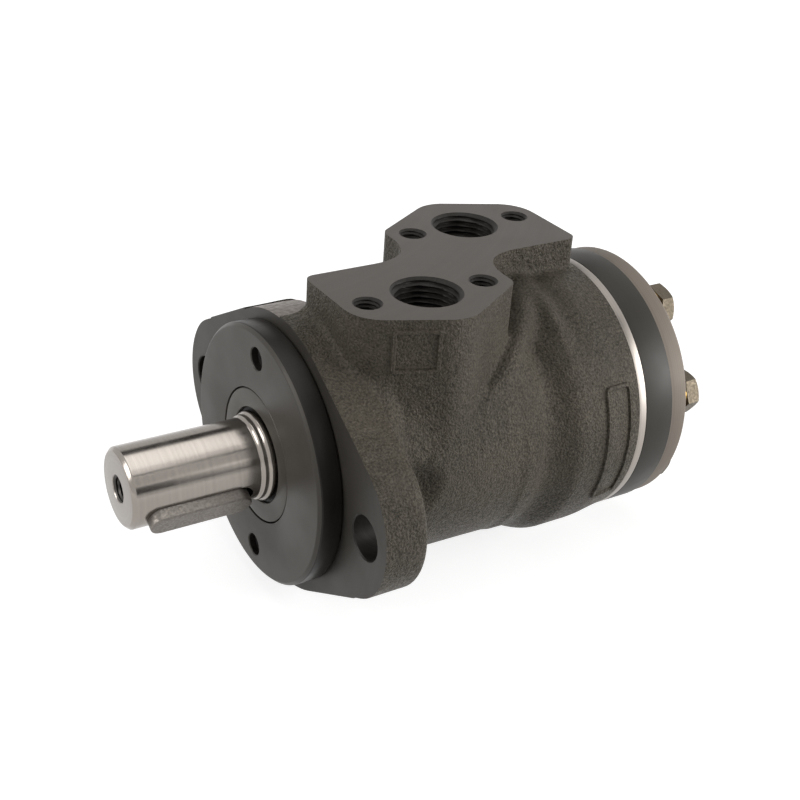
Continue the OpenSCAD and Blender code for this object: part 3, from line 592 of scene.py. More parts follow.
brackets = [(px + step * BRACKET_STEP, py) for px, py in ports for step in (-1, 1)]
COVER_SEAT_R, COVER_SEAT_X, RACE_SEAT_R, RACE_SEAT_X = 26.05, -8.1, 23.6, -14.54
bore = [(COVER_SEAT_R, 2), (COVER_SEAT_R, COVER_SEAT_X), (RACE_SEAT_R, COVER_SEAT_X),
        (RACE_SEAT_R, RACE_SEAT_X), (BORE_R, RACE_SEAT_X)]
for px, _ in ports:
    bore += [(BORE_R, px + GROOVE_HALF), (GROOVE_R, px + GROOVE_HALF), (GROOVE_R, px - GROOVE_HALF),
             (BORE_R, px - GROOVE_HALF)]
bore.append((BORE_R, -HOUSING_LEN - 2))
PATCH_AT, PATCH_R, PATCH_DEPTH = (-2.0, -12.9), 12.0, 0.5
patch_r = FLANGE_WAIST_R - PATCH_DEPTH
patch = add_piece("patch", *turned_tool([(PATCH_R, 30), (PATCH_R, 60)], (*PATCH_AT, 0), "Z", 72))
machine(patch, [turned_tool([(patch_r, -40), (patch_r, 20)], steps=144)])
patch_form = as_tool(patch)
tools = [patch_form, block_tool((0, -PAST, -PAST), (PAST_FRONT, PAST, PAST)),
         block_tool((PAST_REAR, -PAST, -PAST), (-HOUSING_LEN, PAST, PAST)),
         block_tool((PAST_REAR, -PAST, PORT_Z), (PAST_FRONT, PAST, PAST)), turned_tool(bore)]
for px, py in ports:
    tools.append(thread_tool((px, py, PORT_Z), PORT_MAJOR_R, PORT_CORE_R, PORT_PITCH, PORT_DEPTH, 2, 96))
    tools.append(turned_tool([(PORT_WELL_R, PORT_WELL_LOW - PORT_Z), (PORT_WELL_R, 2 - PORT_DEPTH)],
                             (px, math.copysign(PORT_WELL_SIDE, py), PORT_Z), "Z", 48))
for px, py in brackets:
    tools.append(thread_tool((px, py, PORT_Z), BRACKET_MAJOR_R, BRACKET_CORE_R, BRACKET_PITCH,
                             BRACKET_DEPTH, 2, 48))
for side in (1, -1):
    ear = (0, side * FLANGE_SPAN / 2, 0)
    tools.append(turned_tool([(FLANGE_HOLE_R, -FLANGE_T - 2), (FLANGE_HOLE_R, -EAR_CHAMFER),
                              (FLANGE_HOLE_R + 2 + EAR_CHAMFER, 2)], ear, "X", 64))
    tools.append(turned_tool([(HEAD_SEAT_R, -FLANGE_T - HEAD_SEAT_REACH), (HEAD_SEAT_R, -FLANGE_T)],
                             ear, "X", 64))
drain_verts, drain_faces = turned_tool(
    [(DRAIN_HOLE_R, -DRAIN_BOSS_END - 4), (DRAIN_HOLE_R, DRAIN_HOLE_END)], (DRAIN_X, 0, 0), "Y", 48)
to_drain = Matrix.Rotation(DRAIN_ANGLE, 3, "X")
tools.append(([to_drain @ Vector(v) for v in drain_verts], drain_faces))
tools += round_holes(STACK_BOLT_R, BOLT_HOLE_R, -HOUSING_LEN - 2, BOLT_HOLE_END, FIRST_BOLT, 32)
machine(casting, tools)
CAST_EDGE_ANGLE = math.radians(36)
casting.data.shade_smooth()
casting.data.set_sharp_from_angle(angle=CAST_EDGE_ANGLE)


def node_group(name, ins, outs):
    """An empty shader group with named sockets; ins are (name, value) pairs."""
    group = bpy.data.node_groups.new(name, "ShaderNodeTree")
    for label, value in ins:
        kind = "NodeSocketColor" if isinstance(value, tuple) else "NodeSocketFloat"
        group.interface.new_socket(label, in_out="INPUT", socket_type=kind).default_value = value
    for label, kind in outs:
        group.interface.new_socket(label, in_out="OUTPUT", socket_type=kind)
    group.nodes.new("NodeGroupInput").name = "in"
    group.nodes.new("NodeGroupOutput").name = "out"
    return group


def noise(tree, inputs, **settings):
    """The value of a noise texture."""
    return add_node(tree, "ShaderNodeTexNoise", inputs, **settings).outputs["Fac"]


SKIN_SOCKETS = [("Color", "NodeSocketColor"), ("Height", "NodeSocketFloat"), ("Roughness", "NodeSocketFloat")]

# Sand grain: the pimpled skin that a sand mould leaves, with lighter tops and darker stains
grain = node_group(
    "sand_grain",
    [("Light", (0.12, 0.11, 0.095, 1)), ("Dark", (0.04, 0.036, 0.03, 1)), ("Size", 900.0),
     ("Stain", 0.5)], SKIN_SOCKETS)
g_in, g_out = grain.nodes["in"].outputs, grain.nodes["out"].inputs
where = object_place(grain)
fine = noise(grain, {"Vector": where, "Scale": g_in["Size"], "Detail": 3.0, "Roughness": 0.55})
coarse = noise(grain, {"Vector": where, "Scale": 330.0, "Detail": 3.0})
blotch = noise(grain, {"Vector": where, "Scale": 42.0, "Detail": 4.0})
fine_level = spread(grain, fine, 0.33, 0.67)
blotch_level = spread(grain, blotch, 0.32, 0.68)
fine_share = calculate(grain, "SUBTRACT", 1.0, g_in["Stain"])
half = calculate(grain, "MULTIPLY", fine_level, fine_share)
mask = calculate(grain, "MULTIPLY_ADD", blotch_level, g_in["Stain"], half)
tint = add_node(grain, "ShaderNodeMix", {0: mask, 6: g_in["Dark"], 7: g_in["Light"]},
                data_type="RGBA").outputs[2]
rise = calculate(grain, "MULTIPLY_ADD", coarse, 1.3, fine)
grain.links.new(tint, g_out["Color"])
grain.links.new(rise, g_out["Height"])
grain.links.new(spread(grain, fine_level, 0, 1, 0.6, 0.36), g_out["Roughness"])

# Places for tool marks: circles about the motor axis, and arcs of a milling cutter over the port face
lathe = node_group("lathe_place", [("Tilt", 1.0)], [("Place", "NodeSocketFloat")])
where = add_node(lathe, "ShaderNodeSeparateXYZ", {0: object_place(lathe)}).outputs
round_axis = add_node(lathe, "ShaderNodeCombineXYZ", {"Y": where["Y"], "Z": where["Z"]}).outputs[0]
ring = add_node(lathe, "ShaderNodeVectorMath", {0: round_axis}, operation="LENGTH").outputs["Value"]
place = calculate(lathe, "MULTIPLY_ADD", where["X"], lathe.nodes["in"].outputs["Tilt"], ring)
lathe.links.new(place, lathe.nodes["out"].inputs["Place"])

mill = node_group("mill_place", [("Centre X", 0.02), ("Centre Y", -0.12)], [("Place", "NodeSocketFloat")])
where = object_place(mill)
flat_where = add_node(mill, "ShaderNodeVectorMath", {0: where, 1: (1, 1, 0)},
                      operation="MULTIPLY").outputs[0]
centre = add_node(mill, "ShaderNodeCombineXYZ", {"X": mill.nodes["in"].outputs["Centre X"],
                                                 "Y": mill.nodes["in"].outputs["Centre Y"]}).outputs[0]
place = add_node(mill, "ShaderNodeVectorMath", {0: flat_where, 1: centre},
                 operation="DISTANCE").outputs["Value"]
mill.links.new(place, mill.nodes["out"].inputs["Place"])

# Tool marks: fine lines across a place value, with wider bands and smudges of oil
marks = node_group(
    "tool_marks",
    [("Place", 0.0), ("Lines", 3000.0), ("Light", (0.5, 0.48, 0.45, 1)), ("Dark", (0.3, 0.28, 0.26, 1)),
     ("Smooth", 0.3), ("Rough", 0.45)], SKIN_SOCKETS)
m_in, m_out = marks.nodes["in"].outputs, marks.nodes["out"].inputs
where = object_place(marks)
spot = calculate(marks, "MULTIPLY", m_in["Place"], m_in["Lines"])
line = noise(marks, {"W": spot, "Scale": 1.0, "Detail": 2.0}, noise_dimensions="1D")
band = noise(marks, {"W": spot, "Scale": 0.13, "Detail": 1.0}, noise_dimensions="1D")
smudge = noise(marks, {"Vector": where, "Scale": 95.0, "Detail": 4.0})
lines = calculate(marks, "MULTIPLY_ADD", band, 0.8, line)
total = calculate(marks, "MULTIPLY_ADD", smudge, 0.9, lines)
mask = spread(marks, total, 0.85, 1.85)
tint = add_node(marks, "ShaderNodeMix", {0: mask, 6: m_in["Dark"], 7: m_in["Light"]},
                data_type="RGBA").outputs[2]
marks.links.new(tint, m_out["Color"])
marks.links.new(line, m_out["Height"])
marks.links.new(spread(marks, smudge, 0.35, 0.65, m_in["Smooth"], m_in["Rough"]), m_out["Roughness"])

METAL_SHEEN, TOOL_MARK_DEPTH = 0.2, 0.00005


def finish_material(name, metallic):
    """A material with one Principled shader: the material, its tree and the shader."""
    material = bpy.data.materials.new(name)
    material.use_nodes = True
    shader = material.node_tree.nodes["Principled BSDF"]
    shader.inputs["Metallic"].default_value = metallic
    shader.inputs["Specular IOR Level"].default_value = METAL_SHEEN
    return material, material.node_tree, shader


def dress(tree, shader, group, strength, depth):
    """Links a group's colour, roughness and height to the shader."""
    bump = add_node(tree, "ShaderNodeBump", {"Height": group.outputs["Height"], "Strength": strength,
                                             "Distance": depth})
    tree.links.new(group.outputs["Color"], shader.inputs["Base Color"])
    tree.links.new(group.outputs["Roughness"], shader.inputs["Roughness"])
    tree.links.new(bump.outputs[0], shader.inputs["Normal"])


def grainy(name, light, dark, size, metallic, stain, strength, depth):
    """Skin of a cast, forged or moulded piece."""
    material, tree, shader = finish_material(name, metallic)
    group = add_node(tree, "ShaderNodeGroup", {"Light": (*light, 1), "Dark": (*dark, 1), "Size": size,
                                               "Stain": stain}, node_tree=grain)
    dress(tree, shader, group, strength, depth)
    return material


def machined(name, light, dark, lines, smooth, rough, metallic, place=lathe, strength=0.12):
    """Cut or ground metal with its tool marks."""
    material, tree, shader = finish_material(name, metallic)
    spot = add_node(tree, "ShaderNodeGroup", node_tree=place).outputs["Place"]
    group = add_node(tree, "ShaderNodeGroup", {"Place": spot, "Lines": lines, "Light": (*light, 1),
                                               "Dark": (*dark, 1), "Smooth": smooth, "Rough": rough},
                     node_tree=marks)
    dress(tree, shader, group, strength, TOOL_MARK_DEPTH)
    return material


cast_skin = grainy("cast_iron_skin", (0.11, 0.094, 0.071), (0.022, 0.019, 0.0138), 1500.0, 0.16, 0.3,
                   1.0, 0.0006)
milled = machined("milled_iron", (0.12, 0.106, 0.094), (0.103, 0.091, 0.08), 2600.0, 0.4, 0.46, 0.08, mill)
faced = machined("faced_iron", (0.06, 0.054, 0.047), (0.05, 0.045, 0.039), 3500.0, 0.38, 0.46, 0.08)
# Bores, holes, threads and screw seats get a much darker copy of the machined iron: painted shade in the
# recesses.
hole_shade_iron = machined("hole_iron_painted_shade", (0.035, 0.031, 0.027), (0.016, 0.0145, 0.0125), 3000.0, 0.4, 0.55, 0.15)
patched = grainy("ground_patch_iron", (0.27, 0.235, 0.21), (0.17, 0.15, 0.132), 700.0, 0.3, 0.3, 0.3,
                 0.0001)
casting.data.materials.clear()
for material in (cast_skin, milled, faced, hole_shade_iron, patched):
    casting.data.materials.append(material)
PORT_TURN_R, BRACKET_TURN_R, BORE_TURN_R, EAR_TURN_R = 11.3, 4.75, 27.0, FLANGE_HOLE_R + 0.6
SKIN, MILLED, FACED, BORED, PATCHED = range(5)
for face in casting.data.polygons:
    c, n = face.center / MM, face.normal
    from_axis = math.hypot(c.y, c.z)
    in_port = any(math.hypot(c.x - px, c.y - py) < PORT_TURN_R for px, py in ports)
    in_bracket = any(math.hypot(c.x - px, c.y - py) < BRACKET_TURN_R for px, py in brackets)
    from_ear = math.hypot(abs(c.y) - FLANGE_SPAN / 2, c.z)
    on_ear = c.x > -FLANGE_T - 0.1 and from_ear < EAR_TURN_R
    from_patch = math.hypot(c.x - PATCH_AT[0], c.y - PATCH_AT[1])
    on_patch = (c.z > 30 and c.x > -FLANGE_T - 1 and from_patch < PATCH_R - 0.02
                and from_axis < patch_r + 0.05)
    if c.z > PORT_Z - 0.01 and n.z > 0.9:
        face.material_index = MILLED
    elif (c.x > -0.01 and n.x > 0.9) or c.x < -HOUSING_LEN + 0.01:
        face.material_index = FACED
    # Ports, bracket threads, the bore and the ear holes take the darker iron, as painted shade.
    elif (c.z > 36 and (in_port or in_bracket)) or from_axis < BORE_TURN_R or on_ear:
        face.material_index = BORED
    elif on_patch:
        face.material_index = PATCHED
    else:
        face.material_index = SKIN
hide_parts("housing")
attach(casting, "motor_body")


def soften(points, radius):
    """Rounds the corners of a closed outline of (radius, height) points."""
    points = [np.array(p, float) for p in points]
    result = []
    for before, here, after in zip(points[-1:] + points[:-1], points, points[1:] + points[:1]):
        a, b = before - here, after - here
        la, lb = np.linalg.norm(a), np.linalg.norm(b)
        straight = abs(float(np.dot(a, b)) / (la * lb) + 1) < 0.02
        cut = min(radius, 0.4 * la, 0.4 * lb)
        if straight or here[0] < 1e-6 or cut < 0.02:
            result.append(here)
            continue
        start, end = here + a / la * cut, here + b / lb * cut
        for t in (0, 0.33, 0.67, 1):
            result.append((1 - t) ** 2 * start + 2 * t * (1 - t) * here + t * t * end)
    return result


def turned_form(outline, steps):
    """A turned form from a closed outline of (radius, x) points; corners on the axis meet in one point."""
    verts, faces, rows = [], [], len(outline)
    for k in range(steps):
        a = 2 * math.pi * k / steps
        verts += [(h, r * math.cos(a), r * math.sin(a)) for r, h in outline]
    for k in range(steps):
        n = (k + 1) % steps
        faces += [(k * rows + j, k * rows + (j + 1) % rows, n * rows + (j + 1) % rows, n * rows + j)
                  for j in range(rows)]
    return verts, faces


def close_axis(piece):
    """Joins the points that meet on the axis and turns the faces outwards."""
    work = bmesh.new()
    work.from_mesh(piece.data)
    bmesh.ops.remove_doubles(work, verts=work.verts, dist=1e-7)
    bmesh.ops.dissolve_degenerate(work, edges=work.edges, dist=1e-7)
    bmesh.ops.recalc_face_normals(work, faces=work.faces)
    work.to_mesh(piece.data)
    work.free()
    piece.data.update()


def turned_piece(name, outline, edge, steps):
    """A turned piece with softened edges, from a closed outline of (radius, x) points."""
    piece = add_piece(name, *turned_form(soften(outline, edge), steps))
    close_axis(piece)
    return piece


TURNED_EDGE_ANGLE = math.radians(30)


def hand_over(piece, node, body, materials):
    """Shades a piece, gives it its materials and puts it in its node's place."""
    piece.data.shade_smooth()
    piece.data.set_sharp_from_angle(angle=TURNED_EDGE_ANGLE)
    piece.data.materials.clear()
    for material in materials:
        piece.data.materials.append(material)
    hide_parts(node)
    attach(piece, body)


# The front cover
# Turned from grey iron: the spigot that centres the motor, and under it a plug that closes the
# housing and holds the seals. Two socket screws in pockets hold it on the housing.
PILOT_R, PILOT_H, PLUG_R, PLUG_DEPTH = 41.275, 8.0, 26.0, 8.0
DUST_SEAL_R, SEAL_SEAT_R = 21.5, 19.0
SCREW_R, SCREW_POCKET_R, SCREW_SEAT_X, SCREW_CIRCLE_R = 2.05, 3.6, 1.8, 33.0
front_cover = turned_piece("front_cover_turned", [
    (PLUG_R, -PLUG_DEPTH), (PLUG_R, -5.4), (PLUG_R - 2, -5.4), (PLUG_R - 2, -2.6), (PLUG_R, -2.6),
    (PLUG_R, 0), (PILOT_R - 0.6, 0), (PILOT_R, 0.6), (PILOT_R, PILOT_H - 1.1), (PILOT_R - 1.1, PILOT_H),
    (DUST_SEAL_R, PILOT_H), (DUST_SEAL_R, 3.2), (16, 3.2), (16, 2.6), (SEAL_SEAT_R, 2.6),
    (SEAL_SEAT_R, -PLUG_DEPTH)], 0.3, 160)
pockets = []
for side in (1, -1):
    seat = (0, 0, side * SCREW_CIRCLE_R)
    pockets.append(turned_tool([(SCREW_POCKET_R, SCREW_SEAT_X), (SCREW_POCKET_R, PILOT_H - 0.3),
                                (SCREW_POCKET_R + 0.9, PILOT_H + 0.6)], seat, "X", 48))
    pockets.append(turned_tool([(SCREW_R, -2), (SCREW_R, SCREW_SEAT_X + 1)], seat, "X", 32))
machine(front_cover, pockets)
pilot_iron = machined("turned_pilot_iron", (0.074, 0.067, 0.058), (0.067, 0.0605, 0.0518), 4200.0,
                      0.36, 0.44, 0.1, strength=0.08)
# The spigot's outer side gets a much darker copy of the same turned iron: painted shade.
spigot_side_shade_iron = machined("spigot_side_painted_shade", (0.022, 0.019, 0.016), (0.016, 0.014, 0.012), 3200.0, 0.34, 0.44, 0.1,
                    strength=0.08)
hand_over(front_cover, "front_cover", "motor_body", [pilot_iron, hole_shade_iron, spigot_side_shade_iron])
for face in front_cover.data.polygons:
    c = face.center / MM
    from_screw = math.hypot(c.y, abs(c.z) - SCREW_CIRCLE_R)
    # The spigot's outer side takes the darker copy of the turned iron, as painted shade.
    if math.hypot(c.y, c.z) > PILOT_R - 0.5:
        face.material_index = 2
    # The screw pockets take the darker hole iron, as painted shade in the recesses.
    if from_screw < SCREW_POCKET_R + 0.02 and c.x < PILOT_H - 0.2:
        face.material_index = 1

# The dust seal
# A pressed steel case in a seat round the shaft, with a rubber lip that keeps dirt off the shaft
# seal. A thin dark gap shows round the case.
SEAL_GAP = 0.38
CASE_R, CASE_BACK, CASE_FRONT, CASE_WALL = DUST_SEAL_R - SEAL_GAP, 3.4, 7.85, 1.15
seal_case = turned_piece("dust_seal_pressing", [
    (CASE_R, CASE_BACK), (CASE_R, CASE_FRONT), (15.2, CASE_FRONT), (15.2, CASE_FRONT - CASE_WALL),
    (20.2, CASE_FRONT - CASE_WALL), (20.2, CASE_BACK)], 0.45, 128)
seal_steel = machined("pressed_seal_steel", (0.09, 0.0825, 0.0705), (0.0713, 0.0653, 0.0562), 2500.0,
                      0.34, 0.42, 0.3, strength=0.06)
hand_over(seal_case, "dust_seal_case", "motor_body", [seal_steel])

# The output shaft
# Hardened and ground steel, one piece with the spool valve behind the thrust bearing. It has a
# keyway with round ends, a threaded centre hole in its face, and ring grooves and timing slots.
SHAFT_R, NECK_R, SPOOL_R, SHAFT_REACH = 12.5, 14.0, 19.0, 52.0
SPOOL_FRONT, SPOOL_BACK = -13.04, -106.5
KEY_ANGLE, KEY_W, KEY_LEN, KEY_END, KEY_FLOOR, KEY_H = math.radians(-28), 8.0, 32.0, 47.5, 8.5, 7.0
SLOT_W, SLOT_FLOOR, SLOT_LAP = 4.6, 15.7, 6.0
PORT_A_X, PORT_B_X = PORT_MID_X + PORT_STEP, PORT_MID_X - PORT_STEP


BAR_END_STEPS = 14


def stadium_bar(x_low, x_high, width, low, high, angle):
    """A bar with round ends that lies along the shaft and points outwards at an angle."""
    r = width / 2
    outline = [(x_high - r + r * math.cos(t), r * math.sin(t))
               for t in np.linspace(-math.pi / 2, math.pi / 2, BAR_END_STEPS)]
    outline += [(x_low + r + r * math.cos(t), r * math.sin(t))
                for t in np.linspace(math.pi / 2, math.pi * 1.5, BAR_END_STEPS)]
    c, s = math.cos(angle), math.sin(angle)
    verts = [(x, up * c - across * s, up * s + across * c) for up in (low, high) for x, across in outline]
    n = len(outline)
    faces = [[k, (k + 1) % n, n + (k + 1) % n, n + k] for k in range(n)]
    return verts, faces + [list(range(n))[::-1], list(range(n, 2 * n))]


def spline_prism(x_low, x_high, root_r, tip_r, teeth, root_half, tip_half):
    """A prism with the section of a spline."""
    outline = []
    for k in range(teeth):
        for side, r, half in ((-1, root_r, root_half), (-1, tip_r, tip_half), (1, tip_r, tip_half),
                              (1, root_r, root_half)):
            a = 2 * math.pi * k / teeth + side * math.radians(half)
            outline.append((r * math.cos(a), r * math.sin(a)))
    n = len(outline)
    verts = [(x, y, z) for x in (x_low, x_high) for y, z in outline]
    faces = [[k, (k + 1) % n, n + (k + 1) % n, n + k] for k in range(n)]
    return verts, faces + [list(range(n))[::-1], list(range(n, 2 * n))]


def turned_about_x(tool, angle):
    """A tool turned about the motor axis."""
    c, s = math.cos(angle), math.sin(angle)
    return [(x, y * c - z * s, y * s + z * c) for x, y, z in tool[0]], tool[1]


shaft = turned_piece("output_shaft_ground", [
    (0, SPOOL_BACK), (SPOOL_R - 0.4, SPOOL_BACK), (SPOOL_R, SPOOL_BACK + 0.4), (SPOOL_R, SPOOL_FRONT - 0.4),
    (SPOOL_R - 0.4, SPOOL_FRONT), (NECK_R, SPOOL_FRONT), (NECK_R, 9.0), (NECK_R - 0.6, 9.7),
    (NECK_R - 0.75, 9.7), (NECK_R - 0.75, 11.0), (SHAFT_R, 11.7), (SHAFT_R, SHAFT_REACH - 1.2),
    (SHAFT_R - 1.2, SHAFT_REACH), (0, SHAFT_REACH)], 0.3, 144)
SPLINE_TEETH, SPLINE_ROOT_R, SPLINE_TIP_R = 12, 9.35, 10.75
END_THREAD_R, END_CORE_R, END_PITCH, END_DEPTH = 4.0, 3.4, 1.25, 18.0
shaft_cuts = [thread_tool((SHAFT_REACH, 0, 0), END_THREAD_R, END_CORE_R, END_PITCH, END_DEPTH, 2, 48, "X"),
              stadium_bar(KEY_END - KEY_LEN - 1.5, KEY_END, KEY_W + 0.3, KEY_FLOOR, 16, KEY_ANGLE),
              turned_tool([(13, SPOOL_BACK - 1), (13, -43.5)]),
              turned_tool([(SPLINE_ROOT_R, -44.5), (SPLINE_ROOT_R, -29.5)]),
              spline_prism(-44.5, -32.5, SPLINE_ROOT_R, SPLINE_TIP_R, SPLINE_TEETH, 10.1, 6.5)]
for x in (PORT_A_X, PORT_B_X):
    shaft_cuts.append(turned_form([(SLOT_FLOOR, x - 5), (SLOT_FLOOR, x + 5), (20, x + 5), (20, x - 5)], 96))
shaft_cuts.append(turned_form([(17.5, DRAIN_X - 2.5), (17.5, DRAIN_X + 2.5), (20, DRAIN_X + 2.5),
                               (20, DRAIN_X - 2.5)], 96))
for k in range(12):
    low, high = (PORT_MID_X - SLOT_LAP, PORT_A_X) if k % 2 == 0 else (PORT_B_X, PORT_MID_X + SLOT_LAP)
    slot = block_tool((low, SLOT_FLOOR, -SLOT_W / 2), (high, 20, SLOT_W / 2))
    shaft_cuts.append(turned_about_x(slot, math.radians(30 * k)))
machine(shaft, shaft_cuts)
ground = machined("ground_shaft_steel", (0.31, 0.282, 0.254), (0.255, 0.231, 0.209), 6500.0, 0.17, 0.24, 1.0,
                  strength=0.02)
# The threaded centre hole gets a much darker copy of the shaft steel: painted shade in the hole.
centre_hole_shade_steel = machined("centre_hole_painted_shade", (0.096, 0.09, 0.084), (0.036, 0.0336, 0.0312), 3000.0, 0.35, 0.5, 0.9)
hand_over(shaft, "output_shaft", "shaft", [ground, centre_hole_shade_steel])
for face in shaft.data.polygons:
    c = face.center / MM
    if math.hypot(c.y, c.z) < 4.2 and c.x > 20:
        face.material_index = 1

# The key
# A bar of drawn steel with round ends, driven into the keyway; it carries the torque.
key = add_piece("shaft_key_bar", *stadium_bar(KEY_END - KEY_LEN, KEY_END - 0.02, KEY_W, KEY_FLOOR,
                                              KEY_FLOOR + KEY_H, KEY_ANGLE))
close_axis(key)
edge = key.modifiers.new("filed_edge", "BEVEL")
edge.limit_method = "ANGLE"
edge.angle_limit = math.radians(40)
edge.width = 0.5 * MM
edge.segments = 2
drawn = grainy("drawn_key_steel", (0.2464, 0.2244, 0.2024), (0.1672, 0.1518, 0.1364), 1400.0, 0.85, 0.5,
               0.3, 0.0001)
hand_over(key, "shaft_key", "shaft", [drawn])

# The gear set's plates
# Behind the casting come the distributor plate with its lapped faces and bright rim, and the dark
# ring whose inside has seven lobes. A hair's gap on each face keeps touching faces apart. The star
# inside them stays as the solids give it.
PLATE_X, RING_X, COVER_X, COVER_BACK = -107.0, -110.0, -121.0, -129.0
STACK_HOLE_R, CHANNEL_CIRCLE_R, CHANNEL_R = 4.25, 30.0, 3.2
LOBE_CIRCLE_R, LOBE_R, ROOT_R = 36.0, 8.5, 34.56
PLATE_BORE_R, GAP = 17.0, 0.03
plate = turned_piece("distributor_plate_lapped", [
    (PLATE_BORE_R, RING_X + GAP), (STACK_R, RING_X + GAP), (STACK_R, PLATE_X - GAP),
    (PLATE_BORE_R, PLATE_X - GAP)], 0.3, 180)
half_pitch = math.pi / STACK_BOLTS
machine(plate, round_holes(CHANNEL_CIRCLE_R, CHANNEL_R, -111, -106, FIRST_BOLT + half_pitch)
        + round_holes(STACK_BOLT_R, STACK_HOLE_R, -111, -106, FIRST_BOLT))
bright = machined("bright_plate_steel", (0.378, 0.342, 0.3105), (0.297, 0.27, 0.243), 7000.0, 0.34, 0.44, 0.9,
                  strength=0.1)
hand_over(plate, "distributor_plate", "motor_body", [bright])

void = add_piece("ring_void", *turned_tool([(ROOT_R, COVER_X - 2), (ROOT_R, RING_X + 2)], steps=144))
machine(void, round_holes(LOBE_CIRCLE_R, LOBE_R, COVER_X - 3, RING_X + 3, FIRST_BOLT, 72))
void_form = as_tool(void)
gear_ring = turned_piece("gear_ring_turned", [
    (0, COVER_X + GAP), (STACK_R, COVER_X + GAP), (STACK_R, RING_X - GAP), (0, RING_X - GAP)], 0.35, 180)
O_RING_SEATS = (COVER_X - 0.15, RING_X + 0.15)
machine(gear_ring, [void_form] + round_holes(STACK_BOLT_R, STACK_HOLE_R, -122, -109, FIRST_BOLT)
        + [turned_form([(40.3, x - 2), (40.3, x + 2), (42.5, x + 2), (42.5, x - 2)], 96)
           for x in O_RING_SEATS])
dark_ring = machined("dark_ring_steel", (0.045, 0.0414, 0.0351), (0.0369, 0.0338, 0.0288), 2200.0, 0.4,
                     0.48, 0.08, strength=0.06)
hand_over(gear_ring, "gear_ring", "motor_body", [dark_ring])

# The end cover and its bolts
# A thick turned steel disc closes the gear set. Seven hexagon bolts, each on a brass washer, go
# through cover, ring and plate into the casting.
COVER_R = 43.8
cover = turned_piece("end_cover_turned", [
    (0, COVER_BACK), (COVER_R - 2, COVER_BACK), (COVER_R, COVER_BACK + 2), (COVER_R, COVER_X - GAP),
    (0, COVER_X - GAP)], 0.35, 180)
machine(cover, round_holes(STACK_BOLT_R, STACK_HOLE_R, -130, -120, FIRST_BOLT))
cover_steel = machined("end_cover_steel", (0.2465, 0.2099, 0.1751), (0.1955, 0.1666, 0.1394), 1500.0,
                       0.5, 0.62, 0.15)
hand_over(cover, "end_cover", "motor_body", [cover_steel])

HEAD_AF, HEAD_H, WASHER_T, WASHER_R, BOLT_R, BOLT_TIP = 13.0, 5.4, 1.5, 6.4, 4.0, -94.0
head_x = COVER_BACK - WASHER_T
corner_r = HEAD_AF / 2 / math.cos(math.radians(30))
one_bolt = add_piece("one_bolt", *turned_tool([(corner_r, head_x - HEAD_H), (corner_r, head_x)], steps=6))
machine(one_bolt, [turned_tool([(HEAD_AF / 2 - 0.5, head_x - HEAD_H - 0.01),
                                (HEAD_AF / 2 + 1.1, head_x - HEAD_H + 0.95),
                                (HEAD_AF / 2 + 1.1, head_x - 0.3),
                                (HEAD_AF / 2 - 0.1, head_x - 0.01)])], "INTERSECT")
machine(one_bolt, [turned_tool([(BOLT_R, head_x - 0.5), (BOLT_R, BOLT_TIP - 0.8), (BOLT_R - 0.8, BOLT_TIP)],
                               steps=40)], "UNION")
one_washer = turned_piece("one_washer", [
    (BOLT_R + 0.1, head_x), (WASHER_R, head_x), (WASHER_R, COVER_BACK), (BOLT_R + 0.1, COVER_BACK)], 0.3, 64)
bolt_steel = grainy("bolt_steel", (0.162, 0.135, 0.099), (0.084, 0.069, 0.0492), 1500.0, 0.75, 0.6,
                    0.25, 0.0001)
washer_brass = machined("washer_brass", (0.52, 0.338, 0.104), (0.3575, 0.221, 0.065), 2500.0, 0.24, 0.4, 1.0)

# Geometry Nodes: copies of one fastener on a circle about the motor axis, each turned on by a twist
TWIST, FIRST_TWIST = 0.83, 0.35
circle = bpy.data.node_groups.new("fastener_circle", "GeometryNodeTree")
for label, kind in (("Geometry", "NodeSocketGeometry"), ("Count", "NodeSocketInt"),
                    ("Radius", "NodeSocketFloat"), ("First Angle", "NodeSocketFloat"),
                    ("Material", "NodeSocketMaterial")):
    circle.interface.new_socket(label, in_out="INPUT", socket_type=kind)
circle.interface.new_socket("Geometry", in_out="OUTPUT", socket_type="NodeSocketGeometry")
c_in = circle.nodes.new("NodeGroupInput").outputs
c_out = circle.nodes.new("NodeGroupOutput").inputs
points = add_node(circle, "GeometryNodePoints", {"Count": c_in["Count"]}).outputs[0]
number = add_node(circle, "GeometryNodeInputIndex").outputs[0]
turn = calculate(circle, "DIVIDE", number, c_in["Count"])
angle = calculate(circle, "MULTIPLY_ADD", turn, 2 * math.pi, c_in["First Angle"])
cosine = calculate(circle, "COSINE", angle)
sine = calculate(circle, "SINE", angle)
across = calculate(circle, "MULTIPLY", cosine, c_in["Radius"])
up = calculate(circle, "MULTIPLY", sine, c_in["Radius"])
spot = add_node(circle, "ShaderNodeCombineXYZ", {"Y": across, "Z": up}).outputs[0]
placed = add_node(circle, "GeometryNodeSetPosition", {"Geometry": points, "Position": spot}).outputs[0]
twist = calculate(circle, "MULTIPLY_ADD", number, TWIST, FIRST_TWIST)
facing = add_node(circle, "ShaderNodeCombineXYZ", {"X": twist}).outputs[0]
copies = add_node(circle, "GeometryNodeInstanceOnPoints",
                  {"Points": placed, "Instance": c_in["Geometry"], "Rotation": facing}).outputs[0]
real = add_node(circle, "GeometryNodeRealizeInstances", {0: copies}).outputs[0]
painted = add_node(circle, "GeometryNodeSetMaterial",
                   {"Geometry": real, "Material": c_in["Material"]}).outputs[0]
circle.links.new(painted, c_out["Geometry"])


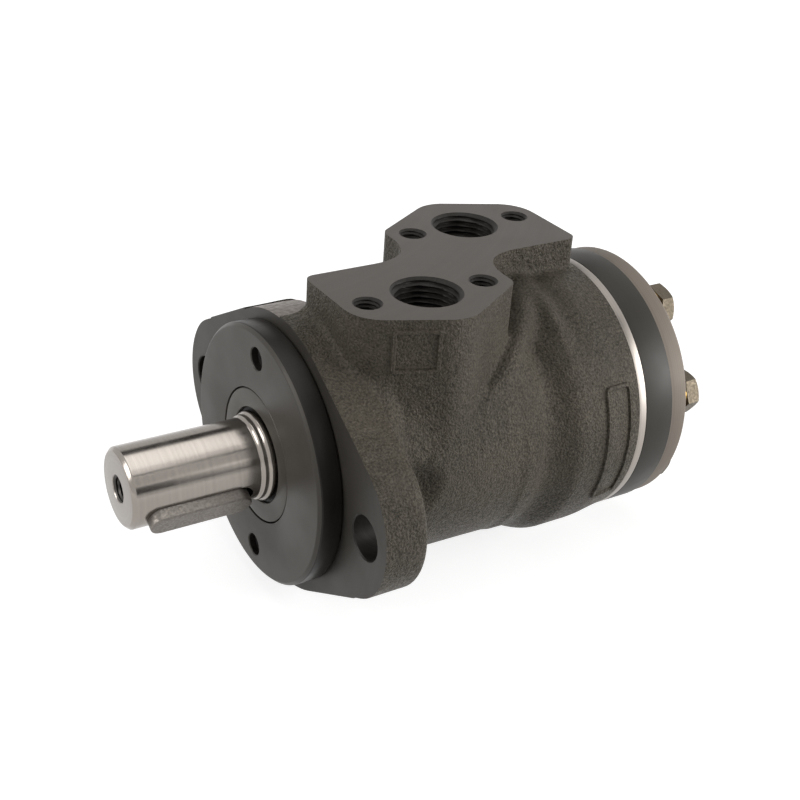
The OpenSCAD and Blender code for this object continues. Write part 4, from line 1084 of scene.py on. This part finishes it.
def set_round(piece, name, node, material):
    """Seven copies of a fastener round the cover, in their node's place."""
    spread_out = piece.modifiers.new("circle", "NODES")
    spread_out.node_group = circle
    values = {"Count": STACK_BOLTS, "Radius": STACK_BOLT_R * MM, "First Angle": FIRST_BOLT,
              "Material": material}
    for socket in circle.interface.items_tree:
        if socket.in_out == "INPUT" and socket.name in values:
            spread_out[socket.identifier] = values[socket.name]
    piece.update_tag()
    ready = bpy.data.meshes.new_from_object(piece.evaluated_get(bpy.context.evaluated_depsgraph_get()))
    piece.modifiers.remove(spread_out)
    piece.data = ready
    piece.name = ready.name = name
    hand_over(piece, node, "motor_body", [material])


set_round(one_bolt, "end_cover_bolt_set", "end_cover_bolts", bolt_steel)
set_round(one_washer, "sealing_washer_set", "sealing_washers", washer_brass)

# The pieces inside and below
# Seals, thrust bearing, cardan shaft, star, balls and the drain plug keep the solids' own forms.
# Each gets the skin of its real make, ground, turned or moulded; what isn't named is hardened steel.
rubber = grainy("moulded_rubber", (0.03, 0.03, 0.03), (0.016, 0.016, 0.016), 1800.0, 0.0, 0.5, 0.3, 0.0001)
ground_bearing = machined("ground_bearing_steel", (0.434, 0.42, 0.406), (0.315, 0.308, 0.294), 6000.0,
                          0.14, 0.26, 1.0)
hardened = machined("hardened_drive_steel", (0.238, 0.217, 0.196), (0.14, 0.1295, 0.119), 2600.0, 0.3, 0.46,
                    0.95)
blackened = grainy("blackened_screw_steel", (0.05, 0.048, 0.046), (0.025, 0.024, 0.023), 1500.0, 0.6, 0.5,
                   0.2, 0.0001)
plated = machined("plated_plug_steel", (0.252, 0.231, 0.203), (0.154, 0.14, 0.1225), 2200.0, 0.32, 0.5, 0.9)
copper = machined("soft_copper", (0.42, 0.217, 0.119), (0.294, 0.147, 0.084), 1800.0, 0.3, 0.46, 1.0)
MADE_OF = {
    "cover_screws": blackened, "drain_plug": plated, "drain_washer": copper,
    "dust_seal_lip": rubber, "shaft_seal": rubber, "front_o_ring": rubber, "housing_o_ring": rubber,
    "plate_o_ring": rubber, "ring_o_ring": rubber,
    "seal_garter_spring": ground_bearing, "thrust_race_front": ground_bearing,
    "thrust_race_rear": ground_bearing, "thrust_needles": ground_bearing,
    "check_ball_a": ground_bearing, "check_ball_b": ground_bearing,
}
for name, node in nodes.items():
    node.data.materials.clear()
    node.data.materials.append(MADE_OF.get(name, hardened))
